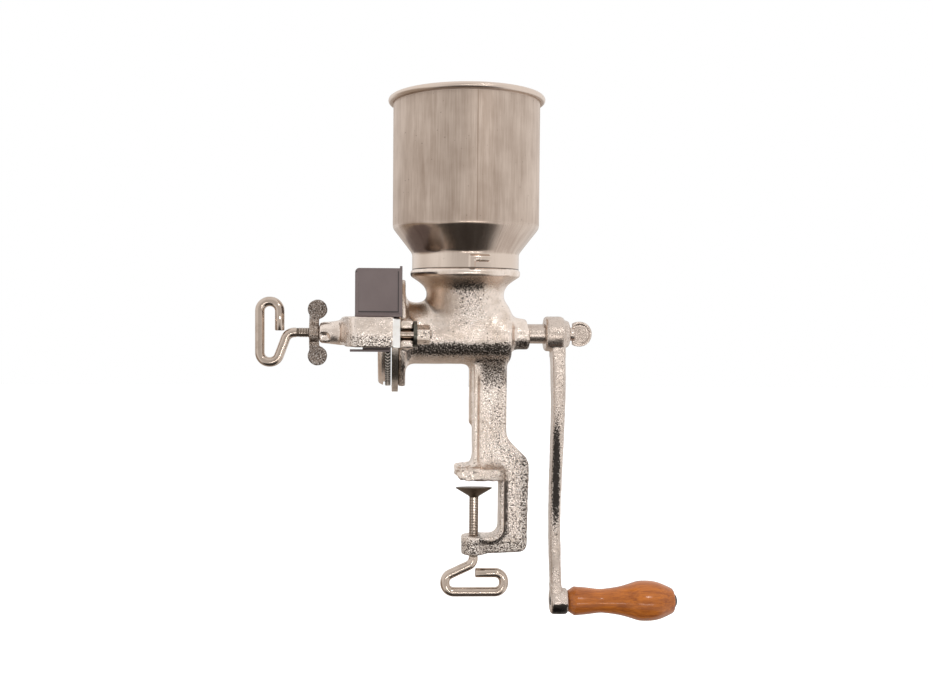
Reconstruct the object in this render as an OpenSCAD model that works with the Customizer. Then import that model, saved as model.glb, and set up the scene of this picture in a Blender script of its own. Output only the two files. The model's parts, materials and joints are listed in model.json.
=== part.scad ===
// Hand cranked plate mill for malt and grain, with a clamp for a table edge.
// X runs along the shaft towards the crank, Y runs away from the viewer and Z runs up.
// The origin is on the clamp screw's axis, at the underside of the upper jaw.

/* [Table clamp] */
// Height of the gap between the jaws
clamp_opening = 57; // [45:1:80]
// Depth of the gap behind the clamp screw
clamp_throat = 25; // [22:1:40]
// Depth of the clamp's back, from its inner face to its outer face
clamp_back = 29.8; // [22:0.2:45]
// Reach of the upper jaw in front of the clamp screw
jaw_reach = 18.5; // [15:0.5:30]
// Thickness of the upper jaw
jaw_t = 12; // [9:0.5:18]
// Width of the upper jaw
jaw_w = 40; // [30:1:60]
// Thickness of the lower jaw
lower_jaw_t = 19; // [14:0.5:26]
// Radius of the boss that the clamp screw passes through
clamp_boss_r = 12.5; // [9:0.5:18]
// Distance from the table seat down to the pad
pad_gap = 9; // [5:0.5:15]
// Radius of the pad
pad_r = 17.7; // [12:0.1:20]
// Height of the pad
pad_h = 9.5; // [8:0.5:14]
// Width of the clamp screw's handle
clamp_handle_w = 59.3; // [50:0.1:80]
// Drop of the clamp screw's handle below its shank's bend
clamp_handle_drop = 29; // [26:0.5:40]

/* [Post] */
// Place of the post's front face along the shaft
post_front = -2; // [-6:0.5:4]
// Depth of the post along the shaft
post_depth = 34; // [24:0.5:40]
// Thickness of the post's web
web_t = 10; // [6:0.5:16]
// Width of the post's flanges
flange_w = 28; // [20:1:40]
// Thickness of the post's flanges
flange_t = 4.5; // [3:0.5:7]
// Depth of the stiffener in front of the post
stiffener_d = 4; // [2:0.5:6]
// Length of the stiffener below the barrel
stiffener_l = 60; // [30:1:80]

/* [Barrel and shaft] */
// Height of the shaft above the table seat
shaft_height = 145.5; // [130:0.5:180]
// Radius of the shaft
shaft_r = 9.75; // [8:0.05:11]
// Running clearance of a pin or shaft in its bore
running_clear = 0.05; // [0.02:0.01:0.1]
// Outer radius of the grinding barrel
barrel_r = 30.5; // [28:0.5:34]
// Wall of the grinding barrel
barrel_wall = 6; // [4:0.5:8]
// Length of the barrel in front of the clamp screw
barrel_fore = 70; // [64:1:85]
// Length of the barrel behind the clamp screw
barrel_aft = 35; // [32:1:48]
// Radius of the rear bearing boss
boss_r = 15.8; // [13:0.1:19]
// Length of the rear bearing boss
boss_l = 18.5; // [12:0.5:26]
// Radius of the flange that carries the fixed plate
face_r = 53; // [46:0.5:56]
// Thickness of the flange that carries the fixed plate
face_t = 7; // [5:0.5:10]

/* [Feed neck] */
// Distance of the neck's axis in front of the clamp screw
neck_fore = 10.5; // [4:0.5:20]
// Outer radius of the feed neck
neck_r = 38; // [35:0.5:42]
// Wall of the feed neck
neck_wall = 5; // [3:0.5:8]
// Height of the lip above the shaft
lip_rise = 62.8; // [58:0.1:80]
// Thickness of the lip
lip_t = 7; // [4:0.5:10]
// Step between the lip's edge and the hopper's foot
lip_step = 1.5; // [0.5:0.1:4]
// Height of the spigot that the hopper sits over
spigot_h = 12; // [10:0.5:14]
// Wall of the spigot
spigot_wall = 4; // [3:0.5:6]

/* [Hopper] */
// Radius of the hopper's can
hopper_r = 72.5; // [66:0.5:85]
// Height of the hopper
hopper_h = 169.7; // [120:0.1:220]
// Radius of the hopper's foot
foot_r = 53; // [50:0.5:56]
// Height of the straight foot
foot_h = 14; // [13:0.5:20]
// Height of the cone between the foot and the can
cone_h = 30; // [24:0.5:45]
// Thickness of the hopper's sheet
sheet_t = 1; // [0.6:0.1:1.6]
// Radius of the rolled bead round the rim
bead_r = 3; // [2:0.1:4]
// Turn that unlocks the hopper
lock_turn = 16; // [10:1:24]
// Radius of the lock pin
lock_pin_r = 2; // [1.5:0.1:2.5]

/* [Grinding plates] */
// Radius of the fixed plate
fixed_plate_r = 58.5; // [54:0.5:62]
// Radius of the turning plate
turning_plate_r = 51.5; // [46:0.5:53]
// Thickness of the fixed plate
fixed_plate_t = 6.3; // [5:0.1:8]
// Thickness of the turning plate
turning_plate_t = 5.5; // [5:0.1:8]
// Gap between the plates
plate_gap = 1; // [0.6:0.1:3]
// Depth of the grinding grooves
groove_d = 2.4; // [1:0.1:2.6]
// Number of groove fields round a plate
groove_fields = 12; // [6:1:12]
// Number of grooves in a field
field_grooves = 8; // [3:1:9]
// Thickness of the plate carrier's disc
carrier_t = 6.7; // [5:0.1:9]
// Radius of the plate carrier's hub
carrier_hub_r = 15; // [13:0.5:20]
// Length of the plate carrier's hub
carrier_hub_l = 7.5; // [6:0.5:9]

/* [Auger] */
// Radius of the auger's core
auger_core_r = 8.5; // [7:0.1:10]
// Clearance between the auger's flight and the barrel
flight_clear = 0.8; // [0.4:0.1:2]
// Pitch of the flight
flight_pitch = 30; // [20:1:40]
// Radius of the thrust ball
ball_r = 4; // [3:0.5:5]

/* [Yoke] */
// Thickness of the yoke's arms
arm_t = 11; // [10:0.5:14]
// Height of the yoke's arms
arm_h = 28.3; // [24:0.1:34]
// Rise of the arms' middle above the shaft
arm_rise = 2; // [0:0.5:3]
// Length of the nose in front of the bridge
nose_l = 22; // [16:0.5:40]
// Radius of the nose's end
nose_r = 10.5; // [8.5:0.5:12]
// Thickness of the bridge
bridge_t = 15; // [12:0.5:20]
// Distance from the plate carrier's hub to the bridge
bridge_clear = 14.5; // [8.5:0.5:20]
// Thickness of the yoke's machined feet
foot_t = 7; // [5:0.5:9]
// Distance from the flange's face back to the feet's ends
foot_back = 2; // [1:0.5:7]
// Thickness of the forked ears
ear_t = 12; // [8:0.5:14]
// Height of the forked ears
ear_h = 27; // [24:0.5:34]
// Radius of the yoke's bolts
bolt_r = 4; // [3:0.1:4.3]
// Clearance of the bolts in the ears' slots
slot_clear = 1.2; // [0.6:0.1:2]
// Length of the yoke's nuts
nut_l = 12; // [6:0.5:14]
// Width of the yoke's nuts across their flats
nut_w = 16; // [13:0.5:20]
// Radius of the yoke's washers
washer_r = 12.5; // [10:0.5:14]
// Thickness of the yoke's washers
washer_t = 3.2; // [1.5:0.1:4]

/* [Guard] */
// Thickness of the guard's sheet
guard_t = 1.2; // [0.8:0.1:2]
// Clearance between the guard and the plates
guard_clear = 1; // [0.6:0.1:3]
// Width of the guard along the shaft
guard_w = 44.2; // [38:0.1:50]
// How far the guard reaches past the flange's face
guard_lap = 3.4; // [1:0.1:5]
// Width of the guard's hems
hem_w = 4.5; // [3:0.5:8]
// Thickness of the guard's hems
hem_t = 2.2; // [1.5:0.1:3]

/* [Adjusting screw] */
// Radius of the threaded rods
rod_r = 4.75; // [4:0.05:5]
// Inner radius of the rods' bends
bend_r = 9.4; // [8.5:0.1:9.5]
// Distance from the wing nut to the handle
handle_gap = 29.4; // [26:0.2:40]
// Height of the handle
handle_h = 60; // [50:0.5:80]
// Width of the handle
handle_w = 19.6; // [19.2:0.2:30]
// Length of the wing nut
wing_nut_l = 9.5; // [7:0.5:14]
// Radius of the wing nut's hub
wing_hub_r = 9.6; // [8:0.1:12]
// Distance of each wing's middle from the axis
wing_reach = 23; // [21:0.5:30]
// Radius of the wings
wing_r = 9.6; // [7:0.1:10]
// Thickness of the wings
wing_t = 6.5; // [4:0.5:9]

/* [Crank] */
// Distance between the bearing boss and the crank's hub
crank_gap = 15.5; // [6:0.5:24]
// Length of the crank's hub
hub_l = 25; // [20:0.5:34]
// Radius of the crank's hub
hub_r = 17.5; // [15.5:0.5:22]
// Distance from the shaft to the grip
crank_throw = 270; // [200:1:320]
// Thickness of the arm at its hub
crank_top_t = 14; // [10:0.5:18]
// Thickness of the arm at its foot
crank_foot_t = 11; // [8:0.5:14]
// Width of the arm at its hub
crank_top_w = 24; // [18:0.5:30]
// Width of the arm at its foot
crank_foot_w = 17; // [12:0.5:24]
// Sideways sweep of the arm's gentle bend
crank_sweep = 1.6; // [0:0.1:4]
// Lean of the arm's foot away from the mill
crank_lean = 1.5; // [0:0.1:6]
// Radius of the boss that carries the grip
crank_boss_r = 13.2; // [11:0.1:16]
// Length of the boss that carries the grip
crank_boss_l = 17.5; // [14:0.5:24]
// Radius of the thumb screw's head
thumb_r = 12.5; // [10:0.5:16]
// Thickness of the thumb screw's head
thumb_t = 7; // [5:0.5:9]

/* [Grip] */
// Length of the wooden grip
grip_l = 108; // [90:1:140]
// Greatest radius of the grip
grip_r = 20; // [17:0.5:24]
// Radius of the grip's waist
grip_waist_r = 12; // [10.5:0.5:14]
// Radius of the spindle through the grip
spindle_r = 4; // [3:0.1:5]

/* [Hidden] */
$fn = 64;

// Clearances and small edges that every fit shares
turn_gap = 0.3;
seat_gap = 0.1;
edge_r = 1.5;
rod_lap = 0.3;
bend_swell = 0.02;
// How far a cut runs past the face that it starts from
over = 1;
// Length of the auger in front of the carrier's hub, and the share of the ball's radius that stands out
auger_end_l = 2;
ball_stand = 0.375;

// Places along the shaft, from the flange's face towards the adjusting handle
face_x = -barrel_fore - face_t;
fixed_face_x = face_x - fixed_plate_t;
turning_face_x = fixed_face_x - plate_gap;
carrier_x = turning_face_x - turning_plate_t;
carrier_hub_x = carrier_x - carrier_t;
hub_end_x = carrier_hub_x - carrier_hub_l;
auger_end_x = hub_end_x - auger_end_l;
ball_x = auger_end_x - ball_r * ball_stand;
screw_tip_x = ball_x - ball_r - seat_gap;
bridge_x = hub_end_x - bridge_clear;
nose_x = bridge_x - bridge_t;
nose_end_x = nose_x - nose_l;
wing_x = nose_end_x - seat_gap;
handle_x = wing_x - wing_nut_l - handle_gap;

// Places along the shaft, towards the crank
boss_end_x = barrel_aft + boss_l;
hub_x = boss_end_x + crank_gap;
hub_out_x = hub_x + hub_l;
grip_z = shaft_height - crank_throw;
crank_boss_x = hub_out_x + crank_lean - crank_boss_l;
grip_x = hub_out_x + crank_lean + turn_gap;

// Places across the shaft
bore_r = barrel_r - barrel_wall;
guard_in = fixed_plate_r + guard_clear;
guard_out = guard_in + guard_t;
hood_end = face_x + guard_lap;
hood_x = hood_end - guard_w;
arm_in = guard_out + turn_gap;
arm_out = arm_in + arm_t;
bolt_y = arm_in + arm_t / 2;
arm_z = shaft_height + arm_rise;
ear_x = face_x + foot_back;
nut_x = ear_x + ear_t + washer_t;
spigot_r = foot_r - sheet_t - turn_gap;
lip_z = shaft_height + lip_rise;
lip_r = foot_r + lip_step;
spigot_top = lip_z + spigot_h;
hopper_z = lip_z + seat_gap;
neck_in = neck_r - neck_wall;
post_back = post_front + post_depth;
clamp_out = clamp_throat + clamp_back;
lower_top = -clamp_opening;
lower_bottom = lower_top - lower_jaw_t;

// Points of an arc about a centre, from one angle to another
function arc(c, r, a0, a1, n = 10) =
    [for (i = [0:n]) let(a = a0 + (a1 - a0) * i / n) c + r * [cos(a), sin(a)]];

// Point on a smooth curve between two of the points that it passes through
function curve_at(a, b, c, d, t) =
    0.5 * (2 * b + (c - a) * t + (2 * a - 5 * b + 4 * c - d) * t * t + (3 * (b - c) + d - a) * t * t * t);

// Smooth curve through a few points
function curve(p, n = 6) = let(last = len(p) - 1) [
    for (i = [0:last - 1], k = [0:n - 1])
        curve_at(p[max(i - 1, 0)], p[i], p[i + 1], p[min(i + 2, last)], k / n),
    p[last]
];

// The same points in the opposite order
function reversed(p) = [for (i = [len(p) - 1:-1:0]) p[i]];

// Puts a shape's Z axis on the shaft's axis, with its start at x
module on_shaft(x = 0) {
    translate([x, 0, shaft_height])
        rotate([0, 90, 0])
            children();
}

// Extrudes an outline drawn in X and Z, centred across Y
module slab(w) {
    rotate([90, 0, 0])
        linear_extrude(w, center = true)
            children();
}

// Extrudes an outline drawn in Y and Z along X
module along_shaft(x, l) {
    translate([x, 0, 0])
        rotate([90, 0, 90])
            linear_extrude(l)
                children();
}

// Round rod in the X and Z plane through a list of corners, with every inner corner bent
module bent_rod(corners, r, bend) {
    last = len(corners) - 1;
    into = [for (i = [1:last]) (corners[i] - corners[i - 1]) / norm(corners[i] - corners[i - 1])];
    turn = [for (i = [1:last - 1]) let(a = into[i - 1], b = into[i])
        atan2(a.x * b.y - a.y * b.x, a.x * b.x + a.y * b.y)];
    cut = [0, for (t = turn) bend * tan(abs(t) / 2), 0];
    for (i = [0:last - 1]) {
        lap_in = i > 0 ? rod_lap : 0;
        lap_out = i < last - 1 ? rod_lap : 0;
        start = corners[i] + into[i] * (cut[i] - lap_in);
        run = norm(corners[i + 1] - corners[i]) - cut[i] - cut[i + 1] + lap_in + lap_out;
        translate([start.x, 0, start.y])
            rotate([0, 90 - atan2(into[i].y, into[i].x), 0])
                cylinder(r = r, h = run);
    }
    for (i = [1:last - 1]) {
        side = sign(turn[i - 1]);
        normal = side * [-into[i - 1].y, into[i - 1].x];
        centre = corners[i] - into[i - 1] * cut[i] + normal * bend;
        first = atan2(-normal.y, -normal.x);
        translate([centre.x, 0, centre.y])
            rotate([90, 0, 0])
                rotate([0, 0, side > 0 ? first : first + turn[i - 1]])
                    rotate_extrude(angle = abs(turn[i - 1]))
                        translate([bend, 0])
                            circle(r = r + bend_swell);
    }
}

// Sizes of the casting's small forms
inner_corner_r = 9;
shoulder_r = 16;
toe_r = 8;
toe_rise = 2;
back_taper = 1.2;
jaw_corner_r = 6;
jaw_nose = 5;
seat_groove_r = 3;
seat_groove_d = 1;
fillet_r = 6;
flare_r = 10;
flare_h = 15.5;
flare_angle = 57;
neck_lap = 2;
hull_t = 1;
blend_drop = 31;
blend_sink = 0.7;
blend_short = 3;
jaw_blend_r = 12;
throat_step = 1.5;
throat_sink = 8;
funnel_h = 12;
ear_tip_r = 3;
screw_r = 2;
fixed_screws = 3;
turning_screws = 2;
screw_head_edge = 0.5;
screw_short = 1;
screw_ring_turn = 45;
fixed_screw_inset = 9;
turning_screw_inset = 20;
fixed_screw_ring = face_r - fixed_screw_inset;
turning_screw_ring = turning_plate_r - turning_screw_inset;
lock_angle = -71;
lock_clear = 0.5;
lock_rise = 1;
lock_z = spigot_h - lock_pin_r - lock_clear;

// Web of the post, its shoulder and the C-shaped clamp
module frame_web() {
    k = sin(45);
    step = clamp_out - post_back;
    s = min(shoulder_r, step / (2 - 2 * k));
    low = jaw_t;
    high = low + 2 * s * k + step - 2 * s * (1 - k);
    heel = [clamp_out - back_taper - toe_r, lower_bottom + toe_rise + toe_r];
    slab(web_t)
        polygon(concat(
            [[post_front, shaft_height], [post_front, jaw_t / 2], [clamp_throat, jaw_t / 2]],
            arc([clamp_throat - inner_corner_r, lower_top + inner_corner_r], inner_corner_r, 0, -90),
            [[0, lower_top], [0, lower_bottom]],
            arc(heel, toe_r, -90, 0),
            arc([clamp_out - s, low], s, 0, 45),
            arc([post_back + s, high], s, 225, 180),
            [[post_back, shaft_height]]
        ));
}

// Flange that runs down the inside of the clamp and along its lower jaw
module clamp_flange() {
    corner = [clamp_throat - inner_corner_r, lower_top + inner_corner_r];
    slab(flange_w)
        polygon(concat(
            [[clamp_throat, jaw_t / 2]],
            arc(corner, inner_corner_r, 0, -90),
            [[0, lower_top], [0, lower_top - flange_t]],
            arc(corner, inner_corner_r + flange_t, -90, 0),
            [[clamp_throat + flange_t, jaw_t / 2]]
        ));
}

// Flange and stiffener in front of the post, with a fillet into the upper jaw
module post_flange() {
    fillet = [post_front - flare_r, jaw_t + flare_r];
    stiffener_top = shaft_height - barrel_r;
    slab(flange_w)
        polygon(concat(
            [[post_front + flange_t, shaft_height], [post_front, shaft_height]],
            arc(fillet, flare_r, 0, -90),
            [[post_front - flare_r, jaw_t / 2], [post_front + flange_t, jaw_t / 2]]
        ));
    slab(web_t)
        translate([post_front - stiffener_d, stiffener_top - stiffener_l])
            square([stiffener_d + flange_t / 2, stiffener_l + barrel_r / 2]);
}

// Points of an arc that leaves a upright and ends at b, to the side of it
function upright_arc(a, b) = let(
    d = a.x - b.x,
    h = b.y - a.y,
    r = (d * d + h * h) / (2 * d)
) arc([a.x - r, a.y], r, 0, atan2(h, r - d), 8);

// Hollow blend on both sides of the web, from its face at a to the form that b is sunk in
module web_blend(x, l, a, b) {
    side = upright_arc(a, b);
    along_shaft(x, l)
        polygon(concat(side, reversed([for (p = side) [-p.x, p.y]])));
}

module web_blends() {
    face = rod_lap - web_t / 2;
    sunk = (barrel_r - blend_sink) * sin(45);
    start = post_front + flange_t / 2;
    web_blend(start, post_back - blend_short - start,
        [face, shaft_height - barrel_r - blend_drop], [-sunk, shaft_height - sunk]);
    web_blend(start, clamp_throat + flange_t / 2 - start,
        [face, jaw_t + jaw_blend_r - rod_lap], [face - jaw_blend_r, jaw_t - rod_lap]);
}

// Upper jaw, with its front edge cut back and grip grooves in the table seat
module upper_jaw() {
    back = clamp_throat + flange_t;
    half = jaw_w / 2;
    difference() {
        linear_extrude(jaw_t)
            polygon(concat(
                [[back, half - jaw_corner_r], [back - jaw_corner_r, half]],
                arc([jaw_corner_r - jaw_reach, half - jaw_corner_r], jaw_corner_r, 90, 180),
                arc([jaw_corner_r - jaw_reach, jaw_corner_r - half], jaw_corner_r, 180, 270),
                [[back - jaw_corner_r, -half], [back, jaw_corner_r - half]]
            ));
        slab(jaw_w + 2 * over)
            polygon([
                [-jaw_reach - over, -over], [2 * jaw_nose - jaw_reach, -over],
                [2 * jaw_nose - jaw_reach, 0], [-jaw_reach - over, jaw_nose]
            ]);
        for (x = [2 * jaw_nose - jaw_reach + 2 * seat_groove_r, clamp_throat - 4 * seat_groove_r,
                clamp_throat - seat_groove_r])
            translate([x, 0, seat_groove_d - seat_groove_r])
                rotate([90, 0, 0])
                    cylinder(r = seat_groove_r, h = jaw_w + 2 * over, center = true);
    }
}

// Barrel with its plate flange and rear bearing boss, turned about the shaft
module barrel() {
    on_shaft()
        rotate_extrude()
            polygon(concat(
                [[0, face_x], [face_r - edge_r, face_x], [face_r, face_x + edge_r], [face_r, -barrel_fore]],
                arc([barrel_r + fillet_r, fillet_r - barrel_fore], fillet_r, 270, 180),
                arc([barrel_r - fillet_r, barrel_aft - fillet_r], fillet_r, 0, 90),
                arc([boss_r + fillet_r / 2, barrel_aft + fillet_r / 2], fillet_r / 2, 270, 180),
                [[boss_r, boss_end_x - edge_r], [boss_r - edge_r, boss_end_x], [0, boss_end_x]]
            ));
}

// Feed neck with its flared lip and the spigot that the hopper sits over
module feed_neck() {
    flare_start = lip_z - lip_t - flare_h;
    flare_end = [neck_r + flare_r * (1 - cos(flare_angle)), flare_start + flare_r * sin(flare_angle)];
    lip_in = lip_r - edge_r;
    lip_low = flare_end.y + (lip_in - flare_end.x) / tan(flare_angle);
    translate([-neck_fore, 0, 0]) {
        rotate_extrude()
            polygon(concat(
                [[0, flare_start - neck_lap], [neck_r, flare_start - neck_lap]],
                arc([neck_r + flare_r, flare_start], flare_r, 180, 180 - flare_angle),
                [[lip_in, lip_low]],
                curve([[lip_r, lip_low + edge_r], [lip_r, lip_z - edge_r], [lip_in, lip_z]]),
                [[spigot_r, lip_z], [spigot_r, spigot_top - edge_r], [spigot_r - edge_r, spigot_top],
                    [0, spigot_top]]
            ));
        hull() {
            translate([0, 0, flare_start - neck_lap])
                cylinder(r = neck_r, h = hull_t, $fn = 48);
            translate([0, 0, shaft_height])
                scale([1, (barrel_r - over) / neck_r, 1])
                    cylinder(r = neck_r, h = hull_t, $fn = 48);
        }
        for (side = [0, 180])
            rotate([0, 0, lock_angle + side])
                translate([spigot_r - spigot_wall / 2, 0, lip_z + lock_z])
                    rotate([0, 90, 0])
                        cylinder(r = lock_pin_r, h = foot_r + lock_clear - spigot_r + spigot_wall / 2);
    }
}

// Way that the grain takes from the hopper down into the barrel
module feed_way() {
    throat_r = bore_r - throat_step;
    mouth_r = spigot_r - spigot_wall;
    translate([-neck_fore, 0, 0])
        rotate_extrude()
            polygon([
                [0, shaft_height], [throat_r, shaft_height],
                [throat_r, shaft_height + barrel_r - throat_sink], [neck_in, lip_z - lip_t - funnel_h],
                [mouth_r, lip_z], [mouth_r, spigot_top + over], [0, spigot_top + over]
            ]);
}

// Forked ears on both sides, whose slots take the yoke's bolts
module ears() {
    half = ear_h / 2;
    slot = bolt_r + slot_clear;
    tip = [arm_out - ear_tip_r, half - ear_tip_r];
    along_shaft(ear_x, ear_t)
        difference() {
            polygon(concat(
                arc([tip.x, shaft_height + tip.y], ear_tip_r, 0, 90),
                arc([-tip.x, shaft_height + tip.y], ear_tip_r, 90, 180),
                arc([-tip.x, shaft_height - tip.y], ear_tip_r, 180, 270),
                arc([tip.x, shaft_height - tip.y], ear_tip_r, 270, 360)
            ));
            for (side = [-1, 1]) {
                translate([side * bolt_y, shaft_height])
                    circle(r = slot);
                translate([side * (bolt_y + arm_t / 2), shaft_height])
                    square([arm_t, 2 * slot], center = true);
            }
        }
}

module mill_body() {
    color("silver")
        difference() {
            union() {
                barrel();
                feed_neck();
                ears();
                frame_web();
                post_flange();
                web_blends();
                clamp_flange();
                upper_jaw();
                translate([0, 0, lower_bottom])
                    cylinder(r = clamp_boss_r, h = lower_jaw_t);
            }
            feed_way();
            on_shaft(face_x - over)
                cylinder(r = bore_r, h = barrel_aft - barrel_wall - face_x + over);
            on_shaft()
                cylinder(r = shaft_r + running_clear, h = boss_end_x + over);
            translate([0, 0, lower_bottom - over])
                cylinder(r = rod_r + running_clear, h = lower_jaw_t + 2 * over);
            on_shaft(face_x - over)
                screw_ring(fixed_screws, fixed_screw_ring)
                    cylinder(r = screw_r + running_clear, h = face_t + 2 * over);
        }
}

// Copies of a shape on a ring, between the plates' groove fields
module screw_ring(count, r) {
    for (i = [0:count - 1])
        rotate([0, 0, 360 * i / count + screw_ring_turn])
            translate([r, 0, 0])
                children();
}

// L-shaped channel of the hopper's lock, between two radii
module lock_channel(r0, r1, half, low) {
    spread = half / foot_r * 180 / PI;
    for (side = [0, 180])
        rotate([0, 0, lock_angle - lock_turn - spread + side]) {
            rotate_extrude(angle = lock_turn + 2 * spread)
                translate([r0, lock_z - half])
                    square([r1 - r0, 2 * half]);
            rotate_extrude(angle = 2 * spread)
                translate([r0, low])
                    square([r1 - r0, lock_z + half - low]);
        }
}

module hopper() {
    rise = hopper_r - foot_r;
    bend = [[0, 0], [0.05, 0.09], [0.23, 0.26], [0.66, 0.62], [0.9, 0.82], [0.98, 0.93], [1, 1]];
    cone = curve([for (p = bend) [foot_r + rise * p.x, foot_h + cone_h * p.y]], 3);
    wall = concat([[foot_r, 0]], cone, [[hopper_r, hopper_h - bead_r]]);
    channel_half = lock_pin_r + lock_clear;
    channel_r = foot_r + lock_rise;
    color("lightgray")
        translate([-neck_fore, 0, hopper_z])
            difference() {
                union() {
                    rotate_extrude()
                        union() {
                            polygon(concat(wall, reversed([for (p = wall) p - [sheet_t, 0]])));
                            translate([hopper_r + bead_r - sheet_t, hopper_h - bead_r])
                                circle(r = bead_r, $fn = 32);
                        }
                    lock_channel(foot_r - sheet_t / 2, channel_r + sheet_t, channel_half + sheet_t, 0);
                }
                lock_channel(foot_r - 2 * sheet_t, channel_r, channel_half, -over);
            }
}

// Share of a groove's pitch that is cut, and how far the cut starts above the plate's face
groove_share = 0.84;
groove_lead = 0.2;

// Fields of parallel V grooves, each field running out to the rim
module grooves(r_in, r_out) {
    field = 360 / groove_fields;
    pitch = 2 * r_out * tan(field / 2) / field_grooves;
    half = pitch * groove_share / 2;
    for (f = [0:groove_fields - 1], g = [0:field_grooves - 1]) {
        offset_y = (g - (field_grooves - 1) / 2) * pitch;
        start = max(r_in - over, (abs(offset_y) + half) / tan(field / 2));
        rotate([0, 0, f * field])
            translate([start, offset_y, 0])
                rotate([90, 0, 90])
                    linear_extrude(r_out + over)
                        polygon([[-half, -groove_lead], [half, -groove_lead], [0, groove_d]]);
    }
}

// Countersunk screw that points along +Z, with its head's top at z = 0
module plate_screw(l, clear = 0) {
    head = 2 * screw_r;
    rotate_extrude()
        polygon([
            [0, -clear], [head + clear, -clear], [head + clear, screw_head_edge],
            [screw_r + clear, screw_head_edge + screw_r],
            [screw_r + clear, l + clear], [0, l + clear]
        ]);
}

module stationary_plate() {
    color("gray")
        on_shaft(fixed_face_x)
            difference() {
                cylinder(r = fixed_plate_r, h = fixed_plate_t);
                translate([0, 0, -over])
                    cylinder(r = bore_r, h = fixed_plate_t + 2 * over);
                grooves(bore_r, fixed_plate_r);
                screw_ring(fixed_screws, fixed_screw_ring) {
                    translate([0, 0, groove_d])
                        plate_screw(fixed_plate_t, running_clear);
                    translate([0, 0, -over])
                        cylinder(r = 2 * screw_r + running_clear, h = groove_d + over);
                }
            }
}

module stationary_plate_screws() {
    color("dimgray")
        on_shaft(fixed_face_x + groove_d)
            screw_ring(fixed_screws, fixed_screw_ring)
                plate_screw(fixed_plate_t - groove_d + face_t - screw_short);
}

module rotating_plate() {
    eye_r = carrier_hub_r + over;
    color("gray")
        on_shaft(turning_face_x)
            mirror([0, 0, 1])
                difference() {
                    cylinder(r = turning_plate_r, h = turning_plate_t);
                    translate([0, 0, -over])
                        cylinder(r = eye_r, h = turning_plate_t + 2 * over);
                    grooves(eye_r, turning_plate_r);
                    screw_ring(turning_screws, turning_screw_ring) {
                        translate([0, 0, groove_d])
                            plate_screw(turning_plate_t, running_clear);
                        translate([0, 0, -over])
                            cylinder(r = 2 * screw_r + running_clear, h = groove_d + over);
                    }
                }
}

module rotating_plate_screws() {
    color("dimgray")
        on_shaft(turning_face_x - groove_d)
            mirror([0, 0, 1])
                screw_ring(turning_screws, turning_screw_ring)
                    plate_screw(turning_plate_t - groove_d + carrier_t - screw_short);
}

// Width and slope of the rim round the plate carrier's back, and the groove between it and the plate
rim_w = 9;
rim_slope = 3;
rim_cut_w = 1.9;
rim_cut_d = 3;

module plate_carrier() {
    dish_x = carrier_hub_x + rim_slope;
    hub_edge = carrier_hub_r - edge_r;
    rim_r = turning_plate_r - rim_w;
    cut_r = turning_plate_r - rim_cut_d;
    cut_x = carrier_x - rim_cut_w;
    color("silver")
        difference() {
            on_shaft()
                rotate_extrude()
                    polygon(concat(
                        [[0, hub_end_x], [hub_edge, hub_end_x], [carrier_hub_r, hub_end_x + edge_r],
                            [carrier_hub_r, dish_x], [rim_r - rim_slope, dish_x]],
                        curve([[rim_r, carrier_hub_x], [turning_plate_r - rim_slope, carrier_hub_x],
                            [turning_plate_r - edge_r / 3, dish_x], [turning_plate_r, cut_x]]),
                        [[cut_r, cut_x], [cut_r, carrier_x], [0, carrier_x]]
                    ));
            on_shaft(hub_end_x - over)
                cylinder(r = auger_core_r + running_clear, h = carrier_x - hub_end_x + 2 * over);
            drive_pin_shape(running_clear);
            on_shaft(turning_face_x - groove_d)
                mirror([0, 0, 1])
                    screw_ring(turning_screws, turning_screw_ring)
                        cylinder(r = screw_r + running_clear, h = turning_plate_t + carrier_t);
        }
}

// Cross pin through the carrier's hub and the auger, a little shorter than the hub is wide
drive_pin_r = 2;
drive_pin_short = 1;

module drive_pin_shape(clear = 0) {
    l = 2 * carrier_hub_r - drive_pin_short + 4 * clear;
    translate([(hub_end_x + carrier_hub_x) / 2, 0, shaft_height])
        cylinder(r = drive_pin_r + clear, h = l, center = true);
}

module drive_pin() {
    color("dimgray")
        drive_pin_shape();
}

module thrust_ball() {
    color("lightgray")
        translate([ball_x, 0, shaft_height])
            sphere(r = ball_r);
}

// Sizes of the squared shaft end and the thumb screw's shank
square_share = 1.36;
square_w = square_share * shaft_r;
square_short = 1;
shank_r = 4;
shank_l = 16;

// Half angles of the flight at its rim and root, its ends' distances from the barrel's, and its fineness
flight_rim_a = 22;
flight_root_a = 40;
flight_root_sink = 1.5;
flight_fore = 3;
flight_aft = 8;
flight_steps = 20;

// Screw flight that carries the grain forward
module flight() {
    start = fixed_face_x + flight_fore;
    l = barrel_aft - barrel_wall - flight_aft - start;
    turns = l / flight_pitch;
    on_shaft(start)
        linear_extrude(l, twist = 360 * turns, slices = round(flight_steps * turns), $fn = 0)
            polygon(concat(
                arc([0, 0], bore_r - flight_clear, -flight_rim_a, flight_rim_a, 4),
                arc([0, 0], auger_core_r - flight_root_sink, flight_root_a, -flight_root_a, 3)
            ));
}

module auger() {
    shaft_start = barrel_aft - barrel_wall + turn_gap;
    color("darkgray")
        difference() {
            union() {
                on_shaft(auger_end_x)
                    cylinder(r = auger_core_r, h = shaft_start - auger_end_x);
                on_shaft(shaft_start)
                    cylinder(r = shaft_r, h = hub_x - shaft_start);
                on_shaft(hub_x)
                    translate([-square_w / 2, -square_w / 2, 0])
                        cube([square_w, square_w, hub_l - square_short]);
                flight();
            }
            translate([ball_x, 0, shaft_height])
                sphere(r = ball_r + seat_gap);
            drive_pin_shape(running_clear);
            on_shaft(hub_out_x - shank_l - over)
                cylinder(r = shank_r + running_clear, h = shank_l + 2 * over);
        }
}

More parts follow.
